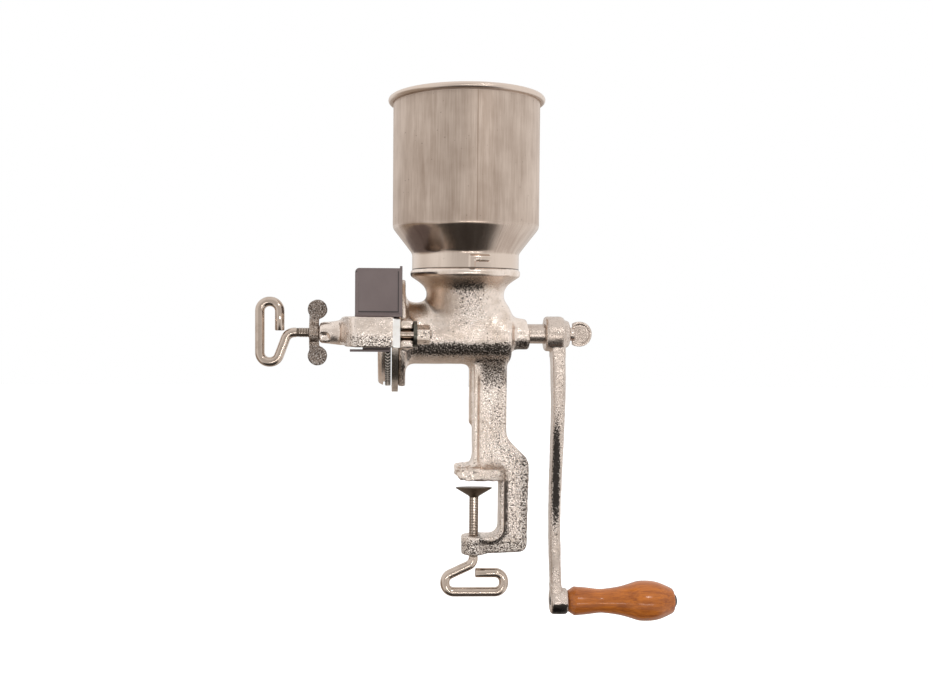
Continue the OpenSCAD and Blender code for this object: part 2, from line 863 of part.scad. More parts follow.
// Radius inside the yoke's corners, and the small forms of its nose, pocket and studs
yoke_corner_r = 8;
nose_taper = 0.6;
nose_swell = 2.2;
pocket_fore = 1;
pocket_w = 9;
pocket_h = 7.5;
stud_root = 13;
stud_proud = 1.5;
// Points of the yoke's shoulder, as shares of the bridge's thickness and steps in from the arm
yoke_shoulder = [[0.8, 0.528], [0.467, 0.194], [0.167, 0.042], [-0.2, 0]];

// Half of the yoke's plan, from the nose round to one foot
function yoke_half() = let(foot_x = ear_x - foot_t) concat(
    curve(concat(
        [[nose_x, 0], [nose_x, nose_r]],
        [for (p = yoke_shoulder) [bridge_x - bridge_t * p.x, arm_out * (1 - p.y)]]
    ), 5),
    [[foot_x, arm_out], [foot_x, arm_in]],
    arc([bridge_x + yoke_corner_r, arm_in - yoke_corner_r], yoke_corner_r, 90, 180),
    [[bridge_x, 0]]
);

module yoke() {
    pocket_x = nose_end_x + pocket_fore;
    root_r = nose_r + nose_swell;
    foot_z = shaft_height + arm_rise / 2 - ear_h / 2;
    color("silver")
        difference() {
            union() {
                translate([0, 0, arm_z - arm_h / 2])
                    linear_extrude(arm_h)
                        for (side = [0, 1])
                            mirror([0, side])
                                polygon(yoke_half());
                on_shaft()
                    rotate_extrude()
                        polygon([
                            [0, nose_end_x], [nose_r - edge_r, nose_end_x], [nose_r, nose_end_x + edge_r],
                            [nose_r + nose_taper, pocket_x + pocket_w], [root_r, nose_x], [root_r, bridge_x],
                            [0, bridge_x]
                        ]);
                for (side = [0, 1])
                    mirror([0, side, 0])
                        translate([ear_x - foot_t, arm_in, foot_z])
                            cube([foot_t, arm_t, ear_h]);
            }
            on_shaft(nose_end_x - over)
                cylinder(r = rod_r + running_clear, h = bridge_x - nose_end_x + 2 * over);
            translate([pocket_x, -2 * nose_r, shaft_height - pocket_h])
                cube([pocket_w, 2 * nose_r - rod_r - over, pocket_h]);
            yoke_studs(running_clear);
        }
}

// Studs that stand in the arms' ends and pass through the ears' slots
module yoke_studs(clear = 0) {
    start = ear_x - foot_t - stud_root;
    end = nut_x + nut_l + stud_proud;
    for (side = [-1, 1])
        translate([start - clear, side * bolt_y, shaft_height])
            rotate([0, 90, 0])
                cylinder(r = bolt_r + clear, h = end - start + clear);
}

module yoke_bolts() {
    color("gainsboro")
        yoke_studs();
}

module yoke_washers() {
    color("lightgray")
        for (side = [-1, 1])
            translate([ear_x + ear_t, side * bolt_y, shaft_height])
                rotate([0, 90, 0])
                    difference() {
                        cylinder(r = washer_r, h = washer_t);
                        translate([0, 0, -over])
                            cylinder(r = bolt_r + running_clear, h = washer_t + 2 * over);
                    }
}

module yoke_nuts() {
    corner_r = nut_w / sqrt(3);
    color("gainsboro")
        for (side = [-1, 1])
            translate([nut_x, side * bolt_y, shaft_height])
                rotate([0, 90, 0])
                    difference() {
                        intersection() {
                            cylinder(r = corner_r, h = nut_l, $fn = 6);
                            rotate_extrude()
                                polygon([
                                    [0, 0], [corner_r + over, 0], [corner_r + over, nut_l - edge_r],
                                    [nut_w / 2, nut_l], [0, nut_l]
                                ]);
                        }
                        translate([0, 0, -over])
                            cylinder(r = bolt_r + running_clear, h = nut_l + 2 * over);
                    }
}

// Rise of the hood over the guard's side walls, its corner, and the gaps between its skirt and the yoke
hood_rise = 1;
hood_r = 4;
skirt_gap = 3;
skirt_drop = 2.2;
// Raised borders of the guard's side walls, and the tabs at their tops
border_w = 3.4;
border_t = 0.5;
tab_w = 2.4;
tab_h = 2;

// Side outline of the guard's hood, with its front top corner rounded
function hood_outline(inset, low) = let(
    x0 = hood_x + inset,
    x1 = hood_end + inset,
    top = shaft_height + guard_out + hood_rise - inset,
    r = hood_r - inset
) concat([[x0, low], [x1, low], [x1, top]], arc([x0 + r, top - r], r, 90, 180));

module guard() {
    arm_top = arm_z + arm_h / 2;
    arm_low = arm_z - arm_h / 2;
    hood_top = shaft_height + guard_out + hood_rise;
    hem_z = arm_low - skirt_drop - hem_t;
    skirt_x = bridge_x + yoke_corner_r;
    skirt_end = ear_x - foot_t - skirt_gap;
    border = guard_t + border_t;
    color("dimgray") {
        difference() {
            slab(2 * guard_out)
                polygon(hood_outline(0, arm_top));
            slab(2 * guard_in)
                polygon(hood_outline(guard_t, arm_top - over));
        }
        for (side = [0, 1])
            mirror([0, side, 0]) {
                translate([skirt_x, guard_in, hem_z])
                    cube([skirt_end - skirt_x, guard_t, arm_top + hem_t - hem_z]);
                translate([hood_x, guard_in, arm_top])
                    cube([guard_w, hem_w, hem_t]);
                translate([hood_x - hem_w, guard_in, hem_z])
                    cube([skirt_end - hood_x + hem_w, hem_w, hem_t]);
                translate([hood_x, guard_in, arm_top])
                    cube([border_w, border, hood_top - hood_r - arm_top]);
                translate([hood_end - border_w, guard_in, arm_top])
                    cube([border_w, border, hood_top - hood_r / 2 - arm_top]);
                translate([hood_end - tab_w, guard_in, hood_top - hood_r])
                    cube([tab_w, guard_t, hood_r + tab_h]);
            }
    }
}

// Least straight run between two bends, and the places of the handle's corners and free end
least_run = 0.4;
handle_rise = 0.5;
neck_reach = 8;
knee_reach = 3;
end_rise = 1.8;

module adjusting_screw() {
    bend = min(bend_r, (handle_w - least_run) / 2);
    top = shaft_height + handle_h / 2 + handle_rise;
    low = top - handle_h;
    color("lightgray")
        bent_rod([
            [screw_tip_x, shaft_height], [handle_x + neck_reach, shaft_height], [handle_x - knee_reach, low],
            [handle_x - handle_w, low], [handle_x - handle_w, top], [handle_x, top],
            [handle_x, shaft_height + end_rise]
        ], rod_r, bend);
}

// Distance of the wings' middle from the nut's face
wing_set = 1.5;

module wing_nut() {
    wing_mid = wing_x - wing_set;
    left = wing_x - wing_nut_l;
    color("gray")
        difference() {
            union() {
                on_shaft(left)
                    cylinder(r = wing_hub_r, h = wing_nut_l);
                slab(wing_t) {
                    for (side = [-1, 1])
                        translate([wing_mid, shaft_height + side * wing_reach])
                            circle(r = wing_r);
                    translate([left, shaft_height - wing_reach])
                        square([wing_nut_l, 2 * wing_reach]);
                }
            }
            on_shaft(left - over)
                cylinder(r = rod_r + running_clear, h = wing_nut_l + 2 * over);
        }
}

// Offset of the arm from the hub's middle, turn of its wave from end to end, and rate of its taper
crank_offset = 0.5;
crank_wave = 389;
crank_taper = 1.6;

// Middle, thickness and width of the crank's arm at a share of its length
function crank_mid(t) =
    hub_x + hub_l / 2 + crank_offset + crank_lean * t + crank_sweep * sin(crank_wave * t);
function crank_half_t(t) = (crank_top_t + (crank_foot_t - crank_top_t) * min(1, crank_taper * t)) / 2;
function crank_half_w(t) = (crank_top_w + (crank_foot_w - crank_top_w) * t) / 2;

// Round edges of the crank's hub and end boss, and the collar on the hub's outer face
hub_edge_r = 2;
hub_shoulder_r = 4;
hub_collar_l = 5;
boss_edge_r = 3;

module crank_arm() {
    steps = 16;
    rows = [for (i = [0:steps]) i / steps];
    function row_z(t) = shaft_height - crank_throw * t;
    collar_r = hub_r - hub_shoulder_r;
    shoulder_l = hub_l - hub_collar_l - hub_shoulder_r;
    hole_w = square_w + 2 * running_clear;
    color("silver")
        difference() {
            union() {
                intersection() {
                    slab(2 * crank_top_w)
                        polygon(concat(
                            [for (t = rows) [crank_mid(t) - crank_half_t(t), row_z(t)]],
                            reversed([for (t = rows) [crank_mid(t) + crank_half_t(t), row_z(t)]])
                        ));
                    along_shaft(hub_x, 2 * hub_l)
                        polygon(concat(
                            [for (t = rows) [-crank_half_w(t), row_z(t)]],
                            reversed([for (t = rows) [crank_half_w(t), row_z(t)]])
                        ));
                }
                on_shaft(hub_x)
                    rotate_extrude()
                        polygon(concat(
                            [[0, 0]],
                            arc([hub_r - hub_edge_r, hub_edge_r], hub_edge_r, -90, 0),
                            arc([collar_r, shoulder_l], hub_shoulder_r, 0, 90),
                            [[collar_r, hub_l - edge_r], [collar_r - edge_r, hub_l], [0, hub_l]]
                        ));
                translate([crank_boss_x, 0, grip_z])
                    rotate([0, 90, 0])
                        rotate_extrude()
                            polygon(concat(
                                [[0, 0]],
                                arc([crank_boss_r - boss_edge_r, boss_edge_r], boss_edge_r, -90, 0),
                                [[crank_boss_r, crank_boss_l - edge_r],
                                    [crank_boss_r - edge_r, crank_boss_l], [0, crank_boss_l]]
                            ));
            }
            on_shaft(hub_x - over)
                translate([-hole_w / 2, -hole_w / 2, 0])
                    cube([hole_w, hole_w, hub_l + 2 * over]);
            translate([crank_boss_x - over, 0, grip_z])
                rotate([0, 90, 0])
                    cylinder(r = spindle_r + running_clear, h = crank_boss_l + 2 * over);
        }
}

// Neck of the thumb screw, the share of its head's radius behind the head's middle, and the head's dish
thumb_neck_l = 3.4;
thumb_neck_r = 6.7;
thumb_share = 0.55;
dish_edge = 2.5;
dish_d = 1.2;

module crank_screw() {
    head_x = hub_out_x + thumb_neck_l + thumb_share * thumb_r;
    dish_r = thumb_r - dish_edge;
    color("lightgray") {
        on_shaft(hub_out_x - shank_l)
            cylinder(r = shank_r, h = shank_l + thumb_neck_l);
        on_shaft(hub_out_x + seat_gap)
            cylinder(r = thumb_neck_r, h = thumb_neck_l + 2 * over);
        difference() {
            slab(thumb_t)
                intersection() {
                    translate([head_x, shaft_height])
                        circle(r = thumb_r);
                    translate([hub_out_x + thumb_neck_l, shaft_height - thumb_r])
                        square([2 * thumb_r, 2 * thumb_r]);
                }
            for (side = [-1, 1])
                translate([head_x, side * thumb_t / 2, shaft_height])
                    rotate([90, 0, 0])
                        cylinder(r = dish_r, h = 2 * dish_d, center = true);
        }
    }
}

// Turned outline of the grip, as shares of its length and of its swell over the waist
module grip() {
    swell = grip_r - grip_waist_r;
    shape = [
        [0, -0.3], [0.02, 0.02], [0.065, 0.25], [0.16, 0.19], [0.28, 0], [0.35, 0.01], [0.48, 0.25],
        [0.575, 0.58], [0.66, 0.93], [0.73, 1], [0.8, 0.95], [0.86, 0.78], [0.91, 0.53], [0.955, 0.26],
        [0.99, 0], [1, -0.35]
    ];
    outline = curve([for (p = shape) [grip_waist_r + swell * p.y, grip_l * p.x]], 3);
    color("chocolate")
        translate([grip_x, 0, grip_z])
            rotate([0, 90, 0])
                difference() {
                    rotate_extrude()
                        polygon(concat([[0, 0]], outline, [[0, grip_l]]));
                    translate([0, 0, -over])
                        cylinder(r = spindle_r + running_clear, h = grip_l + 2 * over);
                }
}

// Domed head of the grip's spindle
spindle_head_r = 7;
spindle_head_h = 3.4;

module grip_spindle() {
    head_x = grip_x + grip_l + turn_gap;
    l = head_x - crank_boss_x;
    color("black")
        translate([crank_boss_x, 0, grip_z])
            rotate([0, 90, 0])
                rotate_extrude()
                    polygon(concat(
                        [[0, 0], [spindle_r, 0], [spindle_r, l], [spindle_head_r, l]],
                        [for (a = [15:15:90]) [spindle_head_r * cos(a), l + spindle_head_h * sin(a)]]
                    ));
}

// Pad's dish, the roof over the screw's end, the rim and the collar round the screw
pad_dish = 2;
pad_roof = 3.5;
pad_rim = 1.6;
pad_collar_t = 2.3;
pad_collar_h = 3.1;

module clamp_pad() {
    collar_r = rod_r + pad_collar_t;
    color("dimgray")
        translate([0, 0, -pad_gap])
            difference() {
                rotate_extrude()
                    polygon([
                        [0, -pad_dish], [pad_r - pad_rim, 0], [pad_r, -pad_rim / 3], [pad_r, -pad_rim],
                        [collar_r, pad_collar_h - pad_h], [collar_r, -pad_h], [0, -pad_h]
                    ]);
                translate([0, 0, -pad_h - over])
                    cylinder(r = rod_r + running_clear, h = pad_h + over - pad_roof);
            }
}

// Height of the clamp screw's handle, its share in front of the screw, its knee and its free end
clamp_handle_h = 19.5;
clamp_handle_run = 1.4;
clamp_handle_share = 0.48;
clamp_knee_drop = 10;
clamp_end_reach = 2;
clamp_slope_rise = 15.7;

module clamp_screw() {
    bend = min(bend_r, (clamp_handle_h - clamp_handle_run) / 2);
    knee = lower_bottom - clamp_knee_drop;
    low = knee - clamp_handle_drop;
    left = -clamp_handle_share * clamp_handle_w;
    right = left + clamp_handle_w;
    color("lightgray")
        bent_rod([
            [0, -pad_gap - pad_roof - seat_gap], [0, knee], [left, low + clamp_slope_rise], [left, low],
            [right, low], [right, low + clamp_handle_h], [clamp_end_reach, low + clamp_handle_h]
        ], rod_r, bend);
}

mill_body();
hopper();
stationary_plate();
stationary_plate_screws();
rotating_plate();
rotating_plate_screws();
plate_carrier();
drive_pin();
auger();
thrust_ball();
yoke();
yoke_bolts();
yoke_washers();
yoke_nuts();
guard();
adjusting_screw();
wing_nut();
crank_arm();
crank_screw();
grip();
grip_spindle();
clamp_pad();
clamp_screw();
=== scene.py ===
import json
import math

import bmesh
import bpy
import numpy
from mathutils import Matrix, Vector, noise


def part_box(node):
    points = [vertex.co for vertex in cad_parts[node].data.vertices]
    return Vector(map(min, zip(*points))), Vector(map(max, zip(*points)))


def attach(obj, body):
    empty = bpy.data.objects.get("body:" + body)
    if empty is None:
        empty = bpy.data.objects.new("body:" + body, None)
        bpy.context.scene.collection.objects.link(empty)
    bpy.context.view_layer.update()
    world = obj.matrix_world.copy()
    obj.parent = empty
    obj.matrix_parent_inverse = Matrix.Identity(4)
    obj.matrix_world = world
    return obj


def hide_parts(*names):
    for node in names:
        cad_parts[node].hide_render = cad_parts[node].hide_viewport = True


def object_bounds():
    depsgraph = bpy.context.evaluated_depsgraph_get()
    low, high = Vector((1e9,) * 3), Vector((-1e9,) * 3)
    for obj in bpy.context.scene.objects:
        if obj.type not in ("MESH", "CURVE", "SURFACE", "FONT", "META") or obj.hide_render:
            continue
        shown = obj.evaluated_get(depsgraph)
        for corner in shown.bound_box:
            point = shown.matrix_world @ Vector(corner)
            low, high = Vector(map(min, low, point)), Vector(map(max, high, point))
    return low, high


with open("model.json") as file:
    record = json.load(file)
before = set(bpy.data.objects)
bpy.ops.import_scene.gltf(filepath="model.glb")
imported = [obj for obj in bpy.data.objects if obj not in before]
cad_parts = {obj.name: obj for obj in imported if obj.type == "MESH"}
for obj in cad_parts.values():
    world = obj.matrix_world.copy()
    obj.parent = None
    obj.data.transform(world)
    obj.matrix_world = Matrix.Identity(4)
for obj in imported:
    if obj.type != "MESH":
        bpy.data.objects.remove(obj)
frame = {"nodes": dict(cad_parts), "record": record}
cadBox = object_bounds()
nodes = frame["nodes"]
record = frame["record"]
scene = bpy.context.scene
mm = 0.001
shaftZ = next(j["pos_m"][2] for j in record["behaviour"]["joints"] if j["name"] == "crank_spin")
print("frame loaded:", len(nodes), "nodes")


# Camera at the photograph's place, 1 m in front of the shaft
viewSet = {
    "at": (-0.0825, -1.0, 0.164), "shift": 0.0415, "tilt": 87.98, "roll": -0.4, "turn": -2.0, "lens": 38.7,
    "sensor": 36.0,
}
viewCamera = bpy.data.objects.new("viewCamera", bpy.data.cameras.new("viewCamera"))
viewCamera.data.lens = viewSet["lens"]
viewCamera.data.sensor_width = viewSet["sensor"]
viewCamera.data.shift_x = viewSet["shift"]
viewCamera.location = viewSet["at"]
viewCamera.rotation_euler = [math.radians(viewSet[key]) for key in ("tilt", "roll", "turn")]
scene.collection.objects.link(viewCamera)
scene.camera = viewCamera
scene.view_settings.view_transform = "Standard"


class Field:
    # Wraps a shader socket, so that shader maths reads as plain expressions
    def __init__(self, tree, socket=None):
        self.tree = tree
        self.socket = socket

    def node(self, kind, settings=None, sockets=None, output=0):
        made = self.tree.nodes.new("ShaderNode" + kind)
        for name, value in (settings or {}).items():
            setattr(made, name, value)
        for name, value in (sockets or {}).items():
            self.feed(made.inputs[name], value)
        return Field(self.tree, made.outputs[output])

    def feed(self, socket, value):
        if isinstance(value, Field):
            self.tree.links.new(value.socket, socket)
        else:
            socket.default_value = value

    def maths(self, operation, first, second=0.0):
        return self.node("Math", {"operation": operation}, {0: first, 1: second})

    def __add__(self, other):
        return self.maths("ADD", self, other)

    def __radd__(self, other):
        return self.maths("ADD", other, self)

    def __sub__(self, other):
        return self.maths("SUBTRACT", self, other)

    def __rsub__(self, other):
        return self.maths("SUBTRACT", other, self)

    def __mul__(self, other):
        return self.maths("MULTIPLY", self, other)

    def __rmul__(self, other):
        return self.maths("MULTIPLY", other, self)

    # 0 below low, 1 above high, with a soft step between
    def step(self, low, high):
        levels = {"Value": self, "From Min": low, "From Max": high}
        return self.node("MapRange", {"interpolation_type": "SMOOTHSTEP"}, levels)

    def axis(self, name):
        return self.node("SeparateXYZ", None, {0: self}, name)

    # Noise on this vector; scale is features per metre
    def noise(self, scale, detail=2.0, rough=0.5):
        sockets = {"Vector": self, "Scale": scale, "Detail": detail, "Roughness": rough}
        return self.node("TexNoise", None, sockets)

    def stretched(self, x, y, z):
        return self.node("VectorMath", {"operation": "MULTIPLY"}, {0: self, 1: (x, y, z)})

    # Mix of two colours, with this value as the share of the second
    def tint(self, first, second):
        return self.node("Mix", {"data_type": "RGBA"}, {0: self, 6: first, 7: second}, 2)

    def bump(self, depth):
        return self.node("Bump", None, {"Height": self, "Distance": depth, "Strength": 1.0})

    # Value that was painted on the piece's points, 0 where there is none
    def mark(self, name):
        return self.node("Attribute", {"attribute_name": name}, None, "Fac")


def newMaterial(name, sockets):
    material = bpy.data.materials.new(name)
    material.use_nodes = True
    tree = material.node_tree
    shader = tree.nodes["Principled BSDF"]
    for socketName, value in sockets.items():
        shader.inputs[socketName].default_value = value
    place = Field(tree).node("TexCoord", output="Object")

    def dress(**fields):
        for socketName, field in fields.items():
            place.feed(shader.inputs[socketName.replace("_", " ")], field)

    return material, place, dress


# How strongly the grain and the fine grain make dark specks and white glints, both painted in the colour: the
# glints are painted highlights, and the specks are pits with painted dark reflections of the grain
grainSet = {
    "specks": (2.6, 1.1), "speckFrom": 0.36, "speckTo": 0.66, "glints": (2.2, 1.2), "glintFrom": 0.08,
    "glintTo": 0.3, "glintShare": 0.6, "white": (1, 0.97, 0.93, 1), "shadeShare": 0.55, "shadeFrom": 0.1,
    "shadeTo": 1.1, "fineRise": 0.4, "speckRough": 0.08,
}


# Tinned sand casting: satin, with a sharp grain and painted glints where it is gritty, and dark specks and a
# smooth painted shade where it is marked for pits and shade
def castingFinish(name, look):
    material, place, dress = newMaterial(name, {"Metallic": look["metal"]})
    grit = look["grit"] + place.mark("grit")
    soot = look["soot"] + place.mark("soot")
    grain = place.noise(look["grain"], 2.0, 0.6)
    fine = place.noise(look["fine"], 1.0, 0.5)
    stain = place.noise(look["stains"], 4.0, 0.65)
    speckGrain, speckFine = grainSet["specks"]
    glintGrain, glintFine = grainSet["glints"]
    # Dark specks: pits, and painted dark reflections of the grain, densest where the pits and shade mark is
    # high
    specks = soot + speckGrain * (0.5 - grain) + speckFine * (0.5 - fine)
    specks = specks.step(grainSet["speckFrom"], grainSet["speckTo"])
    # Painted glints: white spots in the colour where the grain rises, scaled by the grit and glint mark
    glints = (glintGrain * (grain - 0.5) + glintFine * (fine - 0.5)) * grit
    glints = glints.step(grainSet["glintFrom"], grainSet["glintTo"])
    # Painted shade: a smooth darkening towards the dark tone where the pits and shade mark is high
    shade = soot.step(grainSet["shadeFrom"], grainSet["shadeTo"])
    tone = stain.step(0.4, 0.7).tint(look["bright"], look["dull"])
    # Brown from the tarnish and shade mark: painted brown shade on the body, and the wing nut's lighter
    # middle block
    tone = place.mark("tarnish").tint(tone, look["brown"])
    tone = (grainSet["glintShare"] * glints).tint(tone, grainSet["white"])
    tone = (grainSet["shadeShare"] * shade).tint(tone, look["pit"])
    dress(
        Base_Color=specks.tint(tone, look["pit"]),
        Roughness=look["rough"] + look["roughSpread"] * stain + grainSet["speckRough"] * specks,
        Normal=((grain + grainSet["fineRise"] * fine) * grit).bump(look["depth"]),
    )
    return material


castTin = castingFinish("castTin", {
    "metal": 1.0, "bright": (0.86, 0.745, 0.66, 1), "dull": (0.7, 0.585, 0.495, 1),
    "pit": (0.07, 0.058, 0.05, 1), "brown": (0.4, 0.29, 0.19, 1), "grit": 0.2, "soot": 0.0, "grain": 680.0,
    "fine": 1350.0, "stains": 50.0, "rough": 0.18, "roughSpread": 0.14, "depth": 1.3 * mm,
})
crankTin = castingFinish("crankTin", {
    "metal": 1.0, "bright": (0.68, 0.58, 0.51, 1), "dull": (0.53, 0.44, 0.375, 1),
    "pit": (0.04, 0.034, 0.03, 1), "brown": (0.36, 0.255, 0.165, 1), "grit": 0.2, "soot": 0.0, "grain": 680.0,
    "fine": 1350.0, "stains": 40.0, "rough": 0.2, "roughSpread": 0.14, "depth": 1.2 * mm,
})
yokeTin = castingFinish("yokeTin", {
    "metal": 1.0, "bright": (0.88, 0.765, 0.68, 1), "dull": (0.74, 0.625, 0.54, 1),
    "pit": (0.05, 0.042, 0.036, 1), "brown": (0.4, 0.29, 0.19, 1), "grit": 0.26, "soot": 0.0, "grain": 760.0,
    "fine": 1500.0, "stains": 50.0, "rough": 0.18, "roughSpread": 0.14, "depth": 0.5 * mm,
})
# Light finish for the teeth's crests: painted light
toothTin = castingFinish("toothTin", {
    "metal": 0.65, "bright": (0.86, 0.78, 0.7, 1), "dull": (0.62, 0.55, 0.48, 1),
    "pit": (0.1, 0.085, 0.07, 1), "brown": (0.4, 0.29, 0.19, 1), "grit": 0.1, "soot": 0.0, "grain": 800.0,
    "fine": 1600.0, "stains": 90.0, "rough": 0.3, "roughSpread": 0.16, "depth": 0.3 * mm,
})
nutTin = castingFinish("nutTin", {
    "metal": 1.0, "bright": (0.8, 0.69, 0.605, 1), "dull": (0.62, 0.515, 0.43, 1),
    "pit": (0.06, 0.05, 0.043, 1), "brown": (0.4, 0.29, 0.19, 1), "grit": 0.5, "soot": 0.14, "grain": 420.0,
    "fine": 900.0, "stains": 70.0, "rough": 0.2, "roughSpread": 0.14, "depth": 1.2 * mm,
})
wingIron = castingFinish("wingIron", {
    "metal": 1.0, "bright": (0.27, 0.215, 0.18, 1), "dull": (0.18, 0.142, 0.118, 1),
    "pit": (0.05, 0.04, 0.035, 1), "brown": (0.4, 0.315, 0.255, 1), "grit": 0.55, "soot": 0.16,
    "grain": 700.0, "fine": 1400.0, "stains": 160.0, "rough": 0.34, "roughSpread": 0.14, "depth": 0.9 * mm,
})
plateIron = castingFinish("plateIron", {
    "metal": 1.0, "bright": (0.56, 0.485, 0.42, 1), "dull": (0.36, 0.3, 0.25, 1),
    "pit": (0.03, 0.026, 0.023, 1), "brown": (0.3, 0.22, 0.15, 1), "grit": 0.12, "soot": 0.0, "grain": 800.0,
    "fine": 1600.0, "stains": 90.0, "rough": 0.16, "roughSpread": 0.16, "depth": 0.6 * mm,
})


# Faces cut bright by a tool, with its fine marks
def machinedFinish(name, look):
    material, place, dress = newMaterial(name, {"Metallic": 1.0})
    marks = place.stretched(*look["along"]).noise(look["marks"], 2.0, 0.6)
    wear = place.noise(look["wear"], 3.0, 0.6)
    dress(
        Base_Color=wear.step(0.45, 0.75).tint(look["bright"], look["dull"]),
        Roughness=look["rough"] + look["roughSpread"] * marks,
        Normal=marks.bump(look["depth"]),
    )
    return material


cutFace = machinedFinish("cutFace", {
    "along": (1.0, 1.0, 0.08), "marks": 1500.0, "wear": 130.0, "bright": (1.0, 0.985, 0.955, 1),
    "dull": (0.95, 0.92, 0.87, 1), "rough": 0.22, "roughSpread": 0.16, "depth": 0.04 * mm,
})
zincSteel = machinedFinish("zincSteel", {
    "along": (1.0, 1.0, 1.0), "marks": 900.0, "wear": 120.0, "bright": (0.57, 0.47, 0.395, 1),
    "dull": (0.46, 0.365, 0.295, 1), "rough": 0.1, "roughSpread": 0.08, "depth": 0.012 * mm,
})
padSteel = machinedFinish("padSteel", {
    "along": (1.0, 1.0, 1.0), "marks": 700.0, "wear": 120.0, "bright": (0.14, 0.104, 0.072, 1),
    "dull": (0.09, 0.065, 0.045, 1), "rough": 0.3, "roughSpread": 0.2, "depth": 0.05 * mm,
})
washerSteel = machinedFinish("washerSteel", {
    "along": (1.0, 1.0, 1.0), "marks": 700.0, "wear": 160.0, "bright": (0.16, 0.15, 0.125, 1),
    "dull": (0.06, 0.058, 0.048, 1), "rough": 0.2, "roughSpread": 0.2, "depth": 0.05 * mm,
})
# Painted shade for the root faces between the thread's ridges
threadDark = machinedFinish("threadDark", {
    "along": (1.0, 1.0, 1.0), "marks": 900.0, "wear": 150.0, "bright": (0.16, 0.125, 0.095, 1),
    "dull": (0.09, 0.07, 0.053, 1), "rough": 0.35, "roughSpread": 0.2, "depth": 0.05 * mm,
})
# Black steel of the grip's spindle, also used as painted shade in the plate teeth's valleys
blackSteel = machinedFinish("blackSteel", {
    "along": (1.0, 1.0, 1.0), "marks": 600.0, "wear": 150.0, "bright": (0.03, 0.027, 0.025, 1),
    "dull": (0.012, 0.011, 0.01, 1), "rough": 0.3, "roughSpread": 0.2, "depth": 0.05 * mm,
})


# Tinned sheet of the hopper: fine drawn streaks up a satin can, darker runs, and a polished cone; with
# painted
# light and shade too: a darker band down the middle, a lighter bead and a shadow line under the bead
def sheetFinish(name, look):
    material, place, dress = newMaterial(name, {"Metallic": 1.0})
    across = place.axis("X") - look["axisX"]
    turn = place.maths("ARCTAN2", across, 0 - place.axis("Y"))
    height = place.axis("Z")
    sway = place.noise(look["sway"], 2.0, 0.5)
    girth = turn * look["radius"]
    swayed = girth + look["swayReach"] * sway
    unrolled = place.node("CombineXYZ", None, {"X": girth, "Z": height * look["draw"]})
    runs = place.node("CombineXYZ", None, {"X": swayed, "Z": height * look["runDraw"]})
    wide = runs.noise(look["wide"], 3.0, 0.55)
    fine = unrolled.noise(look["fine"], 3.0, 0.65)
    cloud = place.noise(look["clouds"], 3.0, 0.55)
    specks = place.noise(look["specks"], 1.0, 0.5).step(0.76, 0.8)
    polish = 1 - height.step(look["coneTop"] - 3 * mm, look["coneTop"] + 1 * mm)
    foot = 1 - height.step(look["footTop"] - 1 * mm, look["footTop"] + 2 * mm)
    # Painted band below the rim: its small negative weight makes the band slightly lighter
    shade = height.step(look["top"] - 36 * mm, look["top"] - 2 * mm)
    # Painted dark reflection: a darker band down the can, a little left of its front
    middle = 1 - place.maths("ABSOLUTE", turn + look["middle"]).step(0.2, 1.35)
    # Painted light on the bead: its colour is lightened and it is made glossier
    rim = height.step(look["top"] - 7.5 * mm, look["top"] - 5.5 * mm)
    streaks = wide * 0.42 + fine * 0.26 + cloud * 0.34
    streaks = streaks + 0.12 * middle - 0.02 * shade - 0.25 * foot - 0.5 * rim
    seam = 1 - place.maths("ABSOLUTE", turn - look["seam"]).step(0.004, 0.012)
    seam = seam * (1 - polish) * (1 - rim)
    tone = (streaks + 0.2 * seam).step(0.33, 0.85).tint(look["bright"], look["dull"])
    joint = 1 - height.step(look["low"] + 0.4 * mm, look["low"] + 1.2 * mm)
    # Painted shadow line just under the bead
    underBead = place.maths("ABSOLUTE", height - look["top"] + look["crease"])
    crease = 1 - underBead.step(0.3 * mm, 1.2 * mm)
    marks = place.maths("MAXIMUM", specks * 0.6, joint * 0.95 + crease * 0.15)
    satin = look["satin"] + look["satinSpread"] * fine
    dress(
        Base_Color=marks.tint(tone, look["speck"]),
        Roughness=satin * (1 - 0.52 * polish - 0.4 * rim) - 0.02 * foot,
        Normal=(fine * 0.6 + wide * 0.4).bump(look["depth"]),
    )
    return material


def middleAndBox(node):
    low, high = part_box(node)
    return (low + high) / 2, low, high


hopperMid, hopperLow, hopperHigh = middleAndBox("hopper")
canSet = {
    "sheet": 1.0 * mm, "bead": 3.0 * mm, "beadLap": 0.3, "footHeight": 14.0 * mm, "coneHeight": 30.0 * mm,
    "footRadius": 53.0 * mm, "turns": 288, "rows": 14, "bendSteps": 5, "rollSteps": 17, "rollStep": 20.0,
    "bend": ((0, 0), (0.04, 0.09), (0.23, 0.26), (0.66, 0.62), (0.9, 0.82), (0.975, 0.905), (1, 1)),
    "lockFrom": -87.0, "lockTo": -71.0, "lockHeight": 9.5 * mm, "lockHalf": 2.6 * mm, "lockRise": 2.2 * mm,
    "lockEdge": 1.0 * mm, "lockOver": 2.0 * mm,
}
canRadius = hopperHigh.x - hopperMid.x - 2 * canSet["bead"] + canSet["sheet"]
footTop = hopperLow.z + canSet["footHeight"]
tinSheet = sheetFinish("tinSheet", {
    "axisX": hopperMid.x, "radius": canRadius, "low": hopperLow.z, "footTop": footTop,
    "coneTop": footTop + canSet["coneHeight"], "top": hopperHigh.z, "draw": 0.03, "runDraw": 0.16,
    "sway": 30.0, "swayReach": 6 * mm, "wide": 95.0, "fine": 700.0, "clouds": 24.0, "specks": 420.0,
    "seam": 0.075, "middle": 0.12, "crease": 6.1 * mm, "bright": (0.7, 0.585, 0.5, 1),
    "dull": (0.37, 0.28, 0.222, 1), "speck": (0.1, 0.075, 0.06, 1), "satin": 0.42, "satinSpread": 0.14,
    "depth": 0.03 * mm,
})


